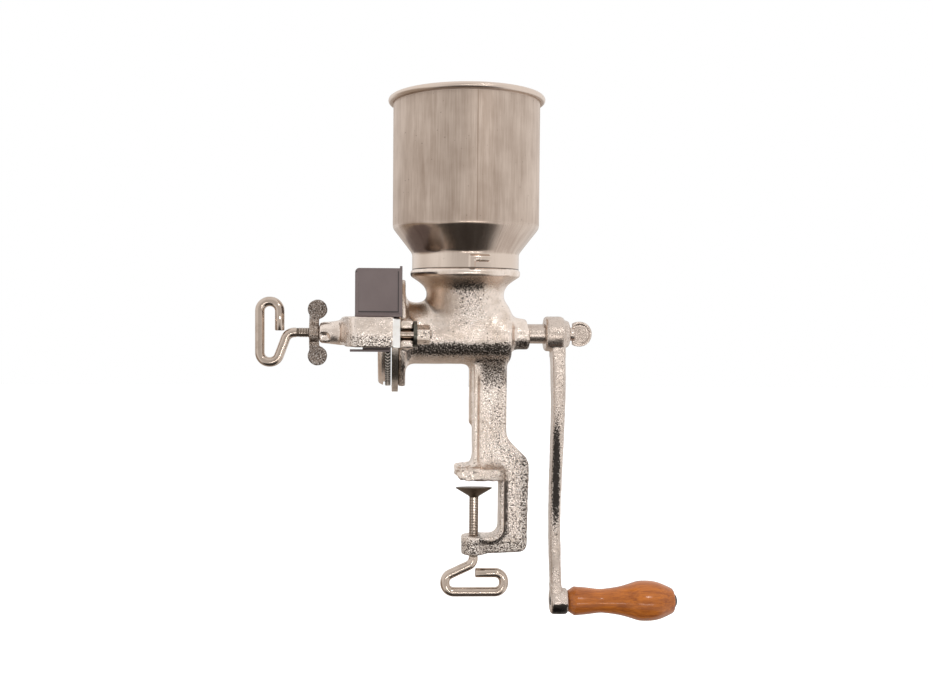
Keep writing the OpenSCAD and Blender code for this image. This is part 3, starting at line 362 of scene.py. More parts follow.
# Satin grey coat of the guard
def coatFinish(name, look):
    material, place, dress = newMaterial(name, {"Metallic": 0.0, "Specular IOR Level": 0.45})
    speckle = place.noise(look["speckle"], 2.0, 0.6)
    cloud = place.noise(look["clouds"], 3.0, 0.55)
    dress(
        Base_Color=(0.6 * cloud + 0.4 * speckle).step(0.3, 0.7).tint(look["bright"], look["dull"]),
        Roughness=look["rough"] + 0.14 * cloud,
        Normal=speckle.bump(look["depth"]),
    )
    return material


# Near-black coat for the guard's ribs: painted shade lines
darkCoat = coatFinish("darkCoat", {
    "speckle": 1400.0, "clouds": 30.0, "bright": (0.04, 0.031, 0.03, 1), "dull": (0.03, 0.023, 0.022, 1),
    "rough": 0.4, "depth": 0.03 * mm,
})
greyCoat = coatFinish("greyCoat", {
    "speckle": 1400.0, "clouds": 30.0, "bright": (0.13, 0.1, 0.096, 1), "dull": (0.105, 0.08, 0.077, 1),
    "rough": 0.36, "depth": 0.03 * mm,
})


# Varnished orange-brown wood, with its grain along the grip
def woodFinish(name, look):
    sockets = {"Coat Roughness": 0.16, "Coat IOR": 1.45, "Specular IOR Level": 0.12}
    material, place, dress = newMaterial(name, sockets)
    drift = place.noise(look["drift"], 2.0, 0.5)
    grained = place.stretched(0.07, 1.0, 1.0)
    lines = grained.noise(look["lines"], 3.0, 0.62)
    bands = grained.noise(look["bands"], 2.0, 0.5)
    pores = place.stretched(0.12, 1.0, 1.0).noise(look["pores"], 2.0, 0.5).step(0.62, 0.72)
    body = (0.5 * lines + 0.5 * bands + 0.25 * drift).step(0.42, 0.82)
    tone = body.tint(look["light"], look["dark"])
    dress(
        Base_Color=(pores * 0.55).tint(tone, look["pore"]),
        Roughness=0.36 + 0.16 * lines,
        Coat_Weight=0.9 - 0.3 * pores,
        Normal=(lines - 0.4 * pores).bump(look["depth"]),
    )
    return material


turnedWood = woodFinish("turnedWood", {
    "drift": 35.0, "lines": 800.0, "bands": 260.0, "pores": 1500.0, "light": (0.39, 0.112, 0.01, 1),
    "dark": (0.2, 0.048, 0.004, 1), "pore": (0.14, 0.034, 0.005, 1), "depth": 0.02 * mm,
})
print("materials:", len(bpy.data.materials))


# Studio: white to the camera, and to metal apart from some dark and warm parts of the room. Each of
# those has its direction, the angles where it is full and where it ends, its share and its colour
studioSet = {
    "ambient": 0.62, "mirror": 1.0, "below": 0.5, "above": 1.3, "floorDrop": 0.34, "floorSize": 16.0,
    "floorWhite": 0.55, "floorRough": 0.9, "floorGlow": 0.8, "aim": (0, 0, 0.13),
    "darks": (
        ((0.05, -1.0, 0.05), 12.0, 62.0, 0.55, (0.42, 0.4, 0.38, 1)),
        ((0.0, 1.0, 0.0), 8.0, 36.0, 0.4, (0.35, 0.28, 0.22, 1)),
        ((0.0, 0.75, -0.66), 18.0, 44.0, 0.85, (0.42, 0.35, 0.29, 1)),
        ((-0.8, 0.2, -0.56), 18.0, 44.0, 0.85, (0.28, 0.205, 0.14, 1)),
        ((0.0, -0.34, -0.94), 26.0, 43.0, 0.97, (0.03, 0.026, 0.023, 1)),
    ),
}


def grey(level):
    return (level, level, level, 1)


def makeStudio():
    world = bpy.data.worlds.new("studio")
    scene.world = world
    world.use_nodes = True
    world.cycles.sampling_method = "NONE"
    tree = world.node_tree
    shader = tree.nodes["Background"]
    look = Field(tree).node("TexCoord", output="Generated")
    seen = look.node("LightPath", output="Is Camera Ray")
    glossy = look.node("LightPath", output="Is Glossy Ray")
    through = look.node("LightPath", output="Is Transmission Ray")
    mirrored = look.maths("MAXIMUM", glossy, through)
    ambient = studioSet["ambient"]
    room = grey(studioSet["mirror"])
    for centre, inner, outer, share, colour in studioSet["darks"]:
        aim = Vector(centre).normalized()
        facing = look.node("VectorMath", {"operation": "DOT_PRODUCT"}, {0: look, 1: aim}, "Value")
        dark = facing.step(math.cos(math.radians(outer)), math.cos(math.radians(inner)))
        room = (share * dark).tint(room, colour)
    above = look.axis("Z").step(-0.7, 0.7)
    plain = above.tint(grey(studioSet["below"] * ambient), grey(studioSet["above"] * ambient))
    lit = mirrored.tint(plain, room)
    look.feed(shader.inputs["Color"], seen.tint(lit, grey(1)))


def makeFloor():
    bm = bmesh.new()
    bmesh.ops.create_grid(bm, x_segments=2, y_segments=2, size=studioSet["floorSize"] / 2)
    bmesh.ops.translate(bm, verts=bm.verts, vec=(0, 0, cadBox[0].z - studioSet["floorDrop"]))
    mesh = bpy.data.meshes.new("floor")
    bm.to_mesh(mesh)
    bm.free()
    floor = bpy.data.objects.new("floor", mesh)
    scene.collection.objects.link(floor)
    material = bpy.data.materials.new("paleFloor")
    material.use_nodes = True
    shader = material.node_tree.nodes["Principled BSDF"]
    shader.inputs["Base Color"].default_value = grey(studioSet["floorWhite"])
    shader.inputs["Roughness"].default_value = studioSet["floorRough"]
    shader.inputs["Emission Strength"].default_value = studioSet["floorGlow"]
    seen = Field(material.node_tree).node("LightPath", output="Is Camera Ray")
    seen.feed(shader.inputs["Emission Color"], seen.tint(grey(0), grey(1)))
    material.cycles.emission_sampling = "NONE"
    mesh.materials.append(material)
    floor.visible_glossy = False


lampSet = (
    {"name": "keyLamp", "at": (1.15, -1.25, 0.85), "size": (1.6, 1.6), "power": 20.0, "glossy": False},
    {"name": "fillLamp", "at": (-1.5, -0.9, 0.7), "size": (1.2, 1.2), "power": 11.0, "glossy": False},
    {"name": "topLamp", "at": (0.1, 0.35, 1.6), "size": (1.4, 1.4), "power": 14.0, "glossy": False},
    {"name": "lowStrip", "at": (0.2, -1.5, -0.3), "size": (1.1, 0.06), "power": 2.4, "glossy": True},
    {"name": "sparkLamp", "at": (0.55, -1.35, 0.85), "size": (0.16, 0.16), "power": 1.6, "glossy": True},
)


def makeLamps():
    aim = Vector(studioSet["aim"])
    for item in lampSet:
        data = bpy.data.lights.new(item["name"], "AREA")
        data.shape = "RECTANGLE"
        data.size, data.size_y = item["size"]
        data.energy = item["power"]
        lamp = bpy.data.objects.new(item["name"], data)
        lamp.location = item["at"]
        lamp.rotation_euler = (aim - lamp.location).to_track_quat("-Z", "Y").to_euler()
        lamp.visible_camera = False
        lamp.visible_glossy = item["glossy"]
        scene.collection.objects.link(lamp)


makeStudio()
makeFloor()
makeLamps()
print("studio ready")


# Puts a finished bmesh on a body as a named piece, in place of CAD nodes
def makePiece(name, bm, materials, body, replaced=(), sharp=35.0):
    mesh = bpy.data.meshes.new(name)
    bm.to_mesh(mesh)
    bm.free()
    mesh.shade_smooth()
    mesh.set_sharp_from_angle(angle=math.radians(sharp))
    for material in materials:
        mesh.materials.append(material)
    piece = bpy.data.objects.new(name, mesh)
    scene.collection.objects.link(piece)
    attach(piece, body)
    if replaced:
        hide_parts(*replaced)
    print("piece:", name, len(mesh.polygons), "faces")
    return piece


# Copy of a CAD node as one even skin of small faces, which can be smoothed and made uneven like a casting
def skinOf(node, voxel):
    bm = bmesh.new()
    bm.from_mesh(nodes[node].data)
    bmesh.ops.remove_doubles(bm, verts=bm.verts, dist=0.002 * mm)
    mesh = bpy.data.meshes.new("skin")
    bm.to_mesh(mesh)
    bm.free()
    skin = bpy.data.objects.new("skin", mesh)
    scene.collection.objects.link(skin)
    remesh = skin.modifiers.new("remesh", "REMESH")
    remesh.mode = "VOXEL"
    remesh.voxel_size = voxel
    evened = bpy.data.meshes.new_from_object(skin.evaluated_get(bpy.context.evaluated_depsgraph_get()))
    bm = bmesh.new()
    bm.from_mesh(evened)
    bpy.data.objects.remove(skin)
    bpy.data.meshes.remove(mesh)
    bpy.data.meshes.remove(evened)
    return bm


def soften(bm, rounds, chosen=None):
    verts = [v for v in bm.verts if chosen is None or chosen(v.co)]
    for _ in range(rounds):
        bmesh.ops.smooth_vert(bm, verts=verts, factor=0.5, use_axis_x=True, use_axis_y=True, use_axis_z=True)


# Fills hollow corners as a casting's fillets do, and leaves the outer edges as they are
def fillHollows(bm, rounds, chosen=None):
    bm.verts.ensure_lookup_table()
    bm.verts.index_update()
    places = numpy.array([v.co[:] for v in bm.verts])
    pairs = numpy.array([(e.verts[0].index, e.verts[1].index) for e in bm.edges])
    count = len(places)
    degree = numpy.bincount(pairs.ravel(), minlength=count)[:, None]
    free = numpy.array([chosen is None or chosen(v.co) for v in bm.verts])
    bm.normal_update()
    normals = numpy.array([v.normal[:] for v in bm.verts])
    for _ in range(rounds):
        total = numpy.zeros_like(places)
        for axis in range(3):
            total[:, axis] += numpy.bincount(pairs[:, 0], places[pairs[:, 1], axis], count)
            total[:, axis] += numpy.bincount(pairs[:, 1], places[pairs[:, 0], axis], count)
        move = total / degree - places
        outward = (move * normals).sum(axis=1) > 0
        places[free & outward] += 0.6 * move[free & outward]
    for v, place in zip(bm.verts, places):
        v.co = place


# Paints values on a piece's points, from functions of a point and its normal
def paintMarks(bm, marks):
    bm.normal_update()
    for name, share in marks.items():
        layer = bm.verts.layers.float.new(name)
        for v in bm.verts:
            v[layer] = share(v.co, v.normal)


# 1 inside a span of values and 0 outside it, with soft ends
def within(value, low, high, soft):
    rise = min(max((value - low) / soft + 0.5, 0.0), 1.0)
    fall = min(max((high - value) / soft + 0.5, 0.0), 1.0)
    return rise * fall


# What zones are told by: a point's place in mm, its distances from the middle plane and from the
# shaft's height, and its normal
def measured(p, n):
    return {
        "x": p.x / mm, "side": abs(p.y) / mm, "z": p.z / mm, "offShaft": abs(p.z - shaftZ) / mm,
        "facingY": n.y, "facingZ": n.z,
    }


# A zone has its share, and spans of measures, each with its low end, its high end and their softness
def zoneShare(zone, measures):
    share = zone["share"]
    for key, span in zone["spans"].items():
        share *= within(measures[key], *span)
    return share


def strongest(zones, measures):
    return max(zoneShare(zone, measures) for zone in zones)


# Low swells of a sand casting: depth and size pairs, on the points that are chosen
def castLumps(bm, swells, chosen=None):
    bm.normal_update()
    moves = []
    for v in bm.verts:
        if chosen is None or chosen(v.co):
            moves.append((v, v.normal * sum(depth * noise.noise(v.co / size) for depth, size in swells)))
    for v, move in moves:
        v.co += move


# Mill body
bodySet = {
    "voxel": 1.3 * mm, "rounds": 3, "fillRounds": 60, "neckRounds": 70, "swells": ((0.3 * mm, 16 * mm),),
    "backSwells": ((0.5 * mm, 3.4 * mm), (0.3 * mm, 2.1 * mm)), "backFrom": 46 * mm, "backTop": 44 * mm,
    "jawSwells": ((2.8 * mm, 7 * mm), (1.4 * mm, 3.5 * mm)), "jawLow": 1.2 * mm, "jawTop": 15 * mm,
    "jawTo": 14 * mm, "barrel": 30.5 * mm, "neckFrom": 4 * mm, "neckRise": 25 * mm, "neckSide": 50 * mm,
    "neckLeft": -64 * mm, "lipRise": 24 * mm, "lipLeft": -72 * mm, "bend": (16, -48), "neckFaint": 0.3,
    "neckFade": (178, 1000, 36),
}
barrelTop = shaftZ + bodySet["barrel"]


def nearNeck(p):
    inHeight = shaftZ + bodySet["neckFrom"] < p.z < barrelTop + bodySet["neckRise"]
    return inHeight and abs(p.y) < bodySet["neckSide"] and p.x > bodySet["neckLeft"]


def offTheLip(p):
    return p.z < barrelTop + bodySet["lipRise"] and p.x > bodySet["lipLeft"]


def onClampBack(p):
    return p.x > bodySet["backFrom"] and p.z < bodySet["backTop"]


def onJaw(p):
    return bodySet["jawLow"] < p.z < bodySet["jawTop"] and p.x < bodySet["jawTo"]


# Sharp grain with painted glints on the post, the clamp's back, the neck's front, the barrel's low half and
# the lower jaw
bodyGritAndGlintZones = (
    {"share": 0.36, "spans": {"x": (6, 60, 18), "z": (-80, 116, 10)}},
    {"share": 0.75, "spans": {"x": (42, 70, 10), "z": (-90, 40, 16)}},
    {"share": 0.32, "spans": {"x": (-26, 10, 10), "z": (150, 198, 14), "facingY": (-1.2, 0, 0.001)}},
    {"share": 0.3, "spans": {"z": (108, 142, 10)}},
    {"share": 0.5, "spans": {"z": (-90, -52, 8)}},
)
smoothLip = {"share": 0.16, "spans": {"z": (199, 230, 4)}}


def bodyGritAndGlint(p, n):
    measures = measured(p, n)
    return strongest(bodyGritAndGlintZones, measures) - zoneShare(smoothLip, measures)


# Dark specks with a smooth painted darkening: painted shade under the flare, along the barrel's low side, in
# the clamp's recess and its bend and under the rear boss; mostly specks on the flange's edge, at the post's
# top, on the post, the clamp's back and its heel
bodyPitsAndShadeZones = (
    {"share": 0.66, "spans": {"x": (-26, 6, 8), "z": (187, 196, 7), "facingY": (-1.2, -0.15, 0.3)}},
    {"share": 0.7, "spans": {"x": (-72, 36, 4), "z": (118, 139, 3), "facingZ": (-0.7, -0.28, 0.16)}},
    {"share": 0.5, "spans": {"x": (-79, -69, 3), "z": (70, 122, 6)}},
    {"share": 0.45, "spans": {"x": (4, 40, 8), "z": (90, 122, 16)}},
    {"share": 0.75, "spans": {"x": (28.5, 34, 2), "z": (-58, 0, 6), "side": (2, 13, 2)}},
    {"share": 0.75, "spans": {"x": (4, 40, 4), "z": (-200, -48, 0.001), "bend": (13, 18, 2)}},
    {"share": 0.23, "spans": {"x": (14, 60, 20), "z": (-70, 110, 20)}},
    {"share": 0.42, "spans": {"x": (45, 70, 8), "z": (-90, 34, 16)}},
    {"share": 0.42, "spans": {"z": (-90, -60, 8)}},
    {"share": 0.72, "spans": {"x": (38, 54, 3), "z": (128, 139, 4)}},
)
# Painted dark reflection on the neck's front, with specks, fainter below a height
paintedDarkNeck = {"share": 0.31, "spans": {"x": (-20, 6, 8), "z": (158, 199, 8), "facingY": (-1.2, -0.15, 0.3)}}
plainLip = {"share": 0.2, "spans": {"z": (198, 230, 4)}}


def bodyPitsAndShade(p, n):
    measures = measured(p, n)
    measures["bend"] = math.dist((measures["x"], measures["z"]), bodySet["bend"])
    neck = zoneShare(paintedDarkNeck, measures)
    neck *= bodySet["neckFaint"] + within(measures["z"], *bodySet["neckFade"])
    return max(neck, strongest(bodyPitsAndShadeZones, measures)) - zoneShare(plainLip, measures)


# Painted brown shade under the flare, on the neck's left and below the barrel
bodyBrownShadeZones = (
    {"share": 0.6, "spans": {"x": (-80, 10, 24), "z": (188, 202, 8)}},
    {"share": 0.3, "spans": {"x": (-60, -22, 16), "z": (165, 204, 10)}},
    {"share": 0.22, "spans": {"z": (112, 130, 6), "facingZ": (-1.2, -0.7, 0.3)}},
)


def bodyBrownShade(p, n):
    return strongest(bodyBrownShadeZones, measured(p, n))


def makeMillCasting():
    bm = skinOf("mill_body", bodySet["voxel"])
    soften(bm, bodySet["rounds"])
    fillHollows(bm, bodySet["fillRounds"], offTheLip)
    soften(bm, bodySet["neckRounds"], nearNeck)
    castLumps(bm, bodySet["swells"])
    castLumps(bm, bodySet["backSwells"], onClampBack)
    castLumps(bm, bodySet["jawSwells"], onJaw)
    soften(bm, 1, offTheLip)
    paintMarks(bm, {"grit": bodyGritAndGlint, "soot": bodyPitsAndShade, "tarnish": bodyBrownShade})
    makePiece("millCasting", bm, [castTin], "mill", ["mill_body"], 60.0)


makeMillCasting()


# Yoke, with its feet cut bright
yokeSet = {
    "voxel": 0.9 * mm, "rounds": 4, "noseRounds": 26, "swells": ((0.35 * mm, 11 * mm), (0.16 * mm, 4 * mm)),
    "lowSwells": ((0.2 * mm, 2.6 * mm),), "footFrom": -82.0 * mm, "footSoft": 2 * mm, "footEdge": 0.3 * mm,
    "lowPart": 144 * mm, "noseTo": -123.5 * mm, "noseSide": 45 * mm, "flank": 66 * mm, "plainGrit": 0.1,
}
# Pits and grain with painted glints along the arms' lower parts
yokeSootZone = {"share": 0.36, "spans": {"z": (128, 145, 5), "side": (66, 80, 4)}}
yokeGritAndGlintZone = {"share": 0.4, "spans": {"z": (128, 146, 8), "side": (64, 80, 4)}}


def onNose(p):
    return p.x < yokeSet["noseTo"] and abs(p.y) < yokeSet["noseSide"]


def offTheFeet(p):
    return p.x < yokeSet["footFrom"]


def aboutOffTheFeet(p):
    return p.x < yokeSet["footFrom"] + yokeSet["footSoft"]


def onArmFlank(p):
    return abs(p.y) > yokeSet["flank"] and p.z < yokeSet["lowPart"] and offTheFeet(p)


def yokeSoot(p, n):
    return zoneShare(yokeSootZone, measured(p, n))


def yokeGritAndGlint(p, n):
    return yokeSet["plainGrit"] + zoneShare(yokeGritAndGlintZone, measured(p, n))


def makeYokeCasting():
    bm = skinOf("yoke", yokeSet["voxel"])
    soften(bm, yokeSet["rounds"], aboutOffTheFeet)
    soften(bm, yokeSet["noseRounds"], onNose)
    castLumps(bm, yokeSet["swells"], offTheFeet)
    castLumps(bm, yokeSet["lowSwells"], onArmFlank)
    for face in bm.faces:
        face.material_index = int(face.calc_center_median().x > yokeSet["footFrom"] - yokeSet["footEdge"])
    paintMarks(bm, {"grit": yokeGritAndGlint, "soot": yokeSoot})
    makePiece("yokeCasting", bm, [yokeTin, cutFace], "mill", ["yoke"], 50.0)


makeYokeCasting()


# Crank arm, thumb screw and wing nut
crankSet = {"armLow": -108 * mm, "armTop": 122 * mm}
# Painted dark reflection in a stretch down the arm's front, and painted shade on the end boss's lower half
crankPaintedDarkZones = (
    {"share": 1.12, "spans": {"x": (78, 84.5, 3.5), "z": (-42, 54, 44), "facingY": (-1.2, -0.4, 0.3)}},
    {"share": 1.3, "spans": {"x": (79, 94, 3), "z": (-137, -124.5, 3), "facingY": (-1.2, -0.4, 0.3)}},
)
crankGritAndGlintZones = (
    {"share": 0.25, "spans": {"z": (-110, 90, 40)}},
    {"share": 0.25, "spans": {"x": (86, 92, 3)}},
)
# The wing nut's middle block, which is cleaner than its wings
wingBlock = {"share": 1.0, "spans": {"offShaft": (0, 12, 3)}}


def onCrankArm(p):
    return crankSet["armLow"] < p.z < crankSet["armTop"]


def crankPaintedDark(p, n):
    measures = measured(p, n)
    return sum(zoneShare(zone, measures) for zone in crankPaintedDarkZones)


def crankGritAndGlint(p, n):
    measures = measured(p, n)
    return sum(zoneShare(zone, measures) for zone in crankGritAndGlintZones)


def wingTarnish(p, n):
    return zoneShare(wingBlock, measured(p, n))


smallCastings = (
    {
        "node": "crank_arm", "name": "crankCasting", "voxel": 0.9 * mm, "rounds": 10, "armRounds": 30,
        "swells": ((0.25 * mm, 20 * mm), (0.14 * mm, 5 * mm)), "finish": crankTin, "body": "crank",
        "slot": "casting", "marks": {"soot": crankPaintedDark, "grit": crankGritAndGlint},
    },
    {
        "node": "crank_screw", "name": "thumbScrew", "voxel": 0.5 * mm, "rounds": 6, "armRounds": 0,
        "swells": ((0.15 * mm, 6 * mm),), "marks": {}, "finish": crankTin, "body": "crank_screw",
        "slot": "casting",
    },
    {
        "node": "wing_nut", "name": "wingNut", "voxel": 0.5 * mm, "rounds": 10, "armRounds": 0,
        "swells": ((0.3 * mm, 6 * mm), (0.12 * mm, 2 * mm)), "marks": {"tarnish": wingTarnish},
        "finish": wingIron, "body": "wing_nut", "slot": "dark_casting",
    },
)


def makeSmallCastings():
    for item in smallCastings:
        bm = skinOf(item["node"], item["voxel"])
        soften(bm, item["rounds"])
        soften(bm, item["armRounds"], onCrankArm)
        castLumps(bm, item["swells"])
        paintMarks(bm, item["marks"])
        makePiece(item["name"], bm, [item["finish"]], item["body"], [item["node"]], 60.0)


makeSmallCastings()


# Point on a smooth curve between the second and third of four points
def curveAt(a, b, c, d, t):
    return 0.5 * (2 * b + (c - a) * t + (2 * a - 5 * b + 4 * c - d) * t ** 2 + (3 * (b - c) + d - a) * t ** 3)


# Smooth curve through a few points, given as pairs
def curveThrough(points, steps):
    path = [Vector(p) for p in points]
    last = len(path) - 1
    out = []
    for i in range(last):
        four = [path[max(i - 1, 0)], path[i], path[i + 1], path[min(i + 2, last)]]
        out += [curveAt(*four, k / steps) for k in range(steps)]
    return out + [path[last]]


# Full turn of an outline, given as radius and height pairs, about an axis through a point
def turned(outline, centre, axis, steps, closed=False):
    bm = bmesh.new()
    side = Vector((1, 0, 0)) if abs(axis.x) < 0.5 else Vector((0, 0, 1))
    verts = [bm.verts.new(centre + side * r + axis * h) for r, h in outline]
    edges = [bm.edges.new(pair) for pair in zip(verts, verts[1:])]
    if closed:
        edges.append(bm.edges.new((verts[-1], verts[0])))
    geom = verts + edges
    bmesh.ops.spin(bm, geom=geom, cent=centre, axis=axis, angle=2 * math.pi, steps=steps, use_merge=True)
    bmesh.ops.remove_doubles(bm, verts=bm.verts, dist=0.001 * mm)
    bmesh.ops.recalc_face_normals(bm, faces=bm.faces)
    return bm


# Hopper: one turned sheet with a rolled bead, and the lock's channel pressed into its foot
def lockPress(angle, height):
    half = canSet["lockHalf"]
    edge = canSet["lockEdge"]
    reach = math.radians(canSet["lockTo"] - canSet["lockFrom"]) * canSet["footRadius"]
    along = (angle - math.radians(canSet["lockFrom"])) * canSet["footRadius"]
    bar = max(abs(height - canSet["lockHeight"]) - half, -along - half, along - reach - half)
    leg = max(abs(along) - half, height - canSet["lockHeight"] - half)
    inside = min(max(0.5 - min(bar, leg) / edge, 0.0), 1.0)
    return canSet["lockRise"] * inside * inside * (3 - 2 * inside)


def makeHopper():
    foot = canSet["footRadius"]
    rise = canRadius - foot
    cone = [(foot + rise * x, canSet["footHeight"] + canSet["coneHeight"] * y) for x, y in canSet["bend"]]
    rows = [(foot, canSet["footHeight"] * i / canSet["rows"]) for i in range(canSet["rows"])]
    bead = canSet["bead"]
    top = hopperHigh.z - hopperLow.z - bead
    beadMid = canRadius + bead - canSet["sheet"]
    wall = [Vector(p) for p in rows] + curveThrough(cone, canSet["bendSteps"])
    wall.append(Vector((canRadius, top - canSet["beadLap"] * bead)))
    inner = [Vector((p.x - canSet["sheet"], p.y)) for p in wall]
    roll = []
    for i in range(canSet["rollSteps"]):
        a = math.radians(180 - canSet["rollStep"] * i)
        roll.append(Vector((beadMid + bead * math.cos(a), top + bead * math.sin(a))))
    outline = wall + list(reversed(roll)) + list(reversed(inner))
    base = Vector((hopperMid.x, hopperMid.y, hopperLow.z))
    bm = turned(outline, base, Vector((0, 0, 1)), canSet["turns"], True)
    for v in bm.verts:
        flat = Vector((v.co.x - base.x, v.co.y - base.y))
        if v.co.z - base.z > canSet["footHeight"] + canSet["lockOver"]:
            continue
        for side in (0, math.pi):
            angle = (math.atan2(flat.y, flat.x) - side + math.pi / 2) % (2 * math.pi) - math.pi / 2
            angle = angle - 2 * math.pi if angle > math.pi / 2 else angle
            push = flat.normalized() * lockPress(angle, v.co.z - base.z)
            v.co += Vector((push.x, push.y, 0))
    makePiece("hopperCan", bm, [tinSheet], "hopper", ["hopper"], 50.0)


makeHopper()


# Bent rods with rolled threads, with painted shade on the thread's root faces
threadSet = {
    "pitch": 1.5875 * mm, "depth": 0.45 * mm, "stepsPerTurn": 20, "sides": 28, "sink": 0.25 * mm,
    "flanks": (0.2, 0.3, 0.72, 0.82), "bendSteps": 14, "tip": 0.8 * mm, "tipShare": 0.8, "runOut": 1.2 * mm,
    "end": 0.7 * mm, "endShare": 0.84,
}


# Ridge of a thread that winds up an axis from start, over a length
def windThread(bm, start, axis, length, radius):
    pitch = threadSet["pitch"]
    foot = radius - threadSet["depth"] - threadSet["sink"]
    side = Vector((0, 1, 0))
    turns = int(length / pitch) - 1
    steps = threadSet["stepsPerTurn"]
    flanks = zip((foot, radius, radius, foot), threadSet["flanks"])
    verts = [bm.verts.new(start + side * r + axis * (share * pitch)) for r, share in flanks]
    edges = [bm.edges.new((verts[i], verts[(i + 1) % len(verts)])) for i in range(len(verts))]
    bm.faces.new(verts)
    made = bmesh.ops.spin(bm, geom=verts + edges, cent=start, axis=axis, dvec=axis * (pitch / steps),
                          angle=2 * math.pi * turns, steps=steps * turns)
    last = [e for e in made["geom_last"] if isinstance(e, bmesh.types.BMVert)]
    bmesh.ops.contextual_create(bm, geom=last)


# Round rod in the X and Z plane through its corners, thinner by the thread's depth as far as threadTo
def bentRod(corners, radius, bend, threadFrom, threadTo):
    bm = bmesh.new()
    points = [Vector((x, 0, z)) for x, z in corners]
    ways = [(b - a).normalized() for a, b in zip(points, points[1:])]
    root = radius - threadSet["depth"]
    tip = threadSet["tip"]
    tipRadius = root * threadSet["tipShare"]
    facing = Matrix.Translation(points[0]) @ ways[0].to_track_quat("Z", "Y").to_matrix().to_4x4()
    sides = threadSet["sides"]
    made = bmesh.ops.create_circle(bm, cap_ends=True, segments=sides, radius=tipRadius, matrix=facing)
    ring = list({e for v in made["verts"] for e in v.link_edges})

    def run(length, newRadius, oldRadius, centre, way):
        nonlocal ring
        out = bmesh.ops.extrude_edge_only(bm, edges=ring)["geom"]
        verts = [g for g in out if isinstance(g, bmesh.types.BMVert)]
        ring = [g for g in out if isinstance(g, bmesh.types.BMEdge)]
        grow = newRadius / oldRadius
        bmesh.ops.translate(bm, verts=verts, vec=way * length)
        end = centre + way * length
        for v in verts:
            v.co = end + (v.co - end) * grow
        return end

    here = run(tip, root, tipRadius, points[0], ways[0])
    size = root
    for i, way in enumerate(ways):
        target = points[i + 1]
        if i + 1 < len(ways):
            turn = way.angle(ways[i + 1])
            target = target - way * bend * math.tan(turn / 2)
        if i == 0:
            here = run(threadTo - tip, root, size, here, way)
            here = run(threadSet["runOut"], radius, root, here, way)
            size = radius
        if i + 1 < len(ways):
            here = run((target - here).length, size, size, here, way)
            hinge = way.cross(ways[i + 1]).normalized()
            centre = here + hinge.cross(way) * bend
            steps = threadSet["bendSteps"]
            spun = bmesh.ops.spin(bm, geom=ring, cent=centre, axis=hinge, angle=turn, steps=steps)
            ring = [g for g in spun["geom_last"] if isinstance(g, bmesh.types.BMEdge)]
            here = centre + Matrix.Rotation(turn, 3, hinge) @ (here - centre)
        else:
            here = run((target - here).length - threadSet["end"], size, size, here, way)
            here = run(threadSet["end"], size * threadSet["endShare"], size, here, way)
    bmesh.ops.contextual_create(bm, geom=ring)
    # Painted shade: the root faces between the thread's ridges take the dark finish
    for face in bm.faces:
        along = (face.calc_center_median() - points[0]).dot(ways[0])
        face.material_index = int(threadFrom < along < threadTo and abs(face.normal.dot(ways[0])) < 0.1)
    windThread(bm, points[0] + ways[0] * threadFrom, ways[0], threadTo - threadFrom, radius)
    bmesh.ops.recalc_face_normals(bm, faces=bm.faces)
    return bm


rodRadius = (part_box("clamp_screw")[1].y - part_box("clamp_screw")[0].y) / 2
adjustSet = {
    "width": 19.6 * mm, "neck": 8.0 * mm, "knee": 3.0 * mm, "endRise": 1.8 * mm, "bend": 9.4 * mm,
    "threadFrom": 1.0 * mm, "threadTo": 66.0 * mm,
}
clampSet = {
    "drop": 29.0 * mm, "slope": 15.7 * mm, "height": 19.5 * mm, "endReach": 2.0 * mm, "bend": 9.05 * mm,
    "threadFrom": 5.0 * mm, "threadTo": 66.0 * mm,
}


def makeRod(name, node, corners, shape):
    bm = bentRod(corners, rodRadius, shape["bend"], shape["threadFrom"], shape["threadTo"])
    makePiece(name, bm, [zincSteel, threadDark], node, [node], 50.0)


def makeRods():
    low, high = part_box("adjusting_screw")
    left = low.x + rodRadius
    right = left + adjustSet["width"]
    bottom = low.z + rodRadius
    top = high.z - rodRadius
    corners = (
        (high.x, shaftZ), (right + adjustSet["neck"], shaftZ), (right - adjustSet["knee"], bottom),
        (left, bottom), (left, top), (right, top), (right, shaftZ + adjustSet["endRise"]),
    )
    makeRod("adjustingRod", "adjusting_screw", corners, adjustSet)
    low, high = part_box("clamp_screw")
    left = low.x + rodRadius
    right = high.x - rodRadius
    bottom = low.z + rodRadius
    top = bottom + clampSet["height"]
    corners = (
        (0, high.z), (0, bottom + clampSet["drop"]), (left, bottom + clampSet["slope"]), (left, bottom),
        (right, bottom), (right, top), (clampSet["endReach"], top),
    )
    makeRod("clampRod", "clamp_screw", corners, clampSet)


makeRods()


# Guard with its edges broken, so that they catch the light, and thin ribs along its borders in a near-black
# coat, which is painted shade along its folded borders
guardSet = {
    "edge": 0.35 * mm, "angle": 40.0, "flat": 2.0, "wall": 800 * mm * mm, "rib": 1.0 * mm, "ribSink": 0.55,
    "leftRib": 5.6 * mm, "rightRib": 3.6 * mm, "ribLow": 20.5 * mm, "ribTop": 5.0 * mm,
}


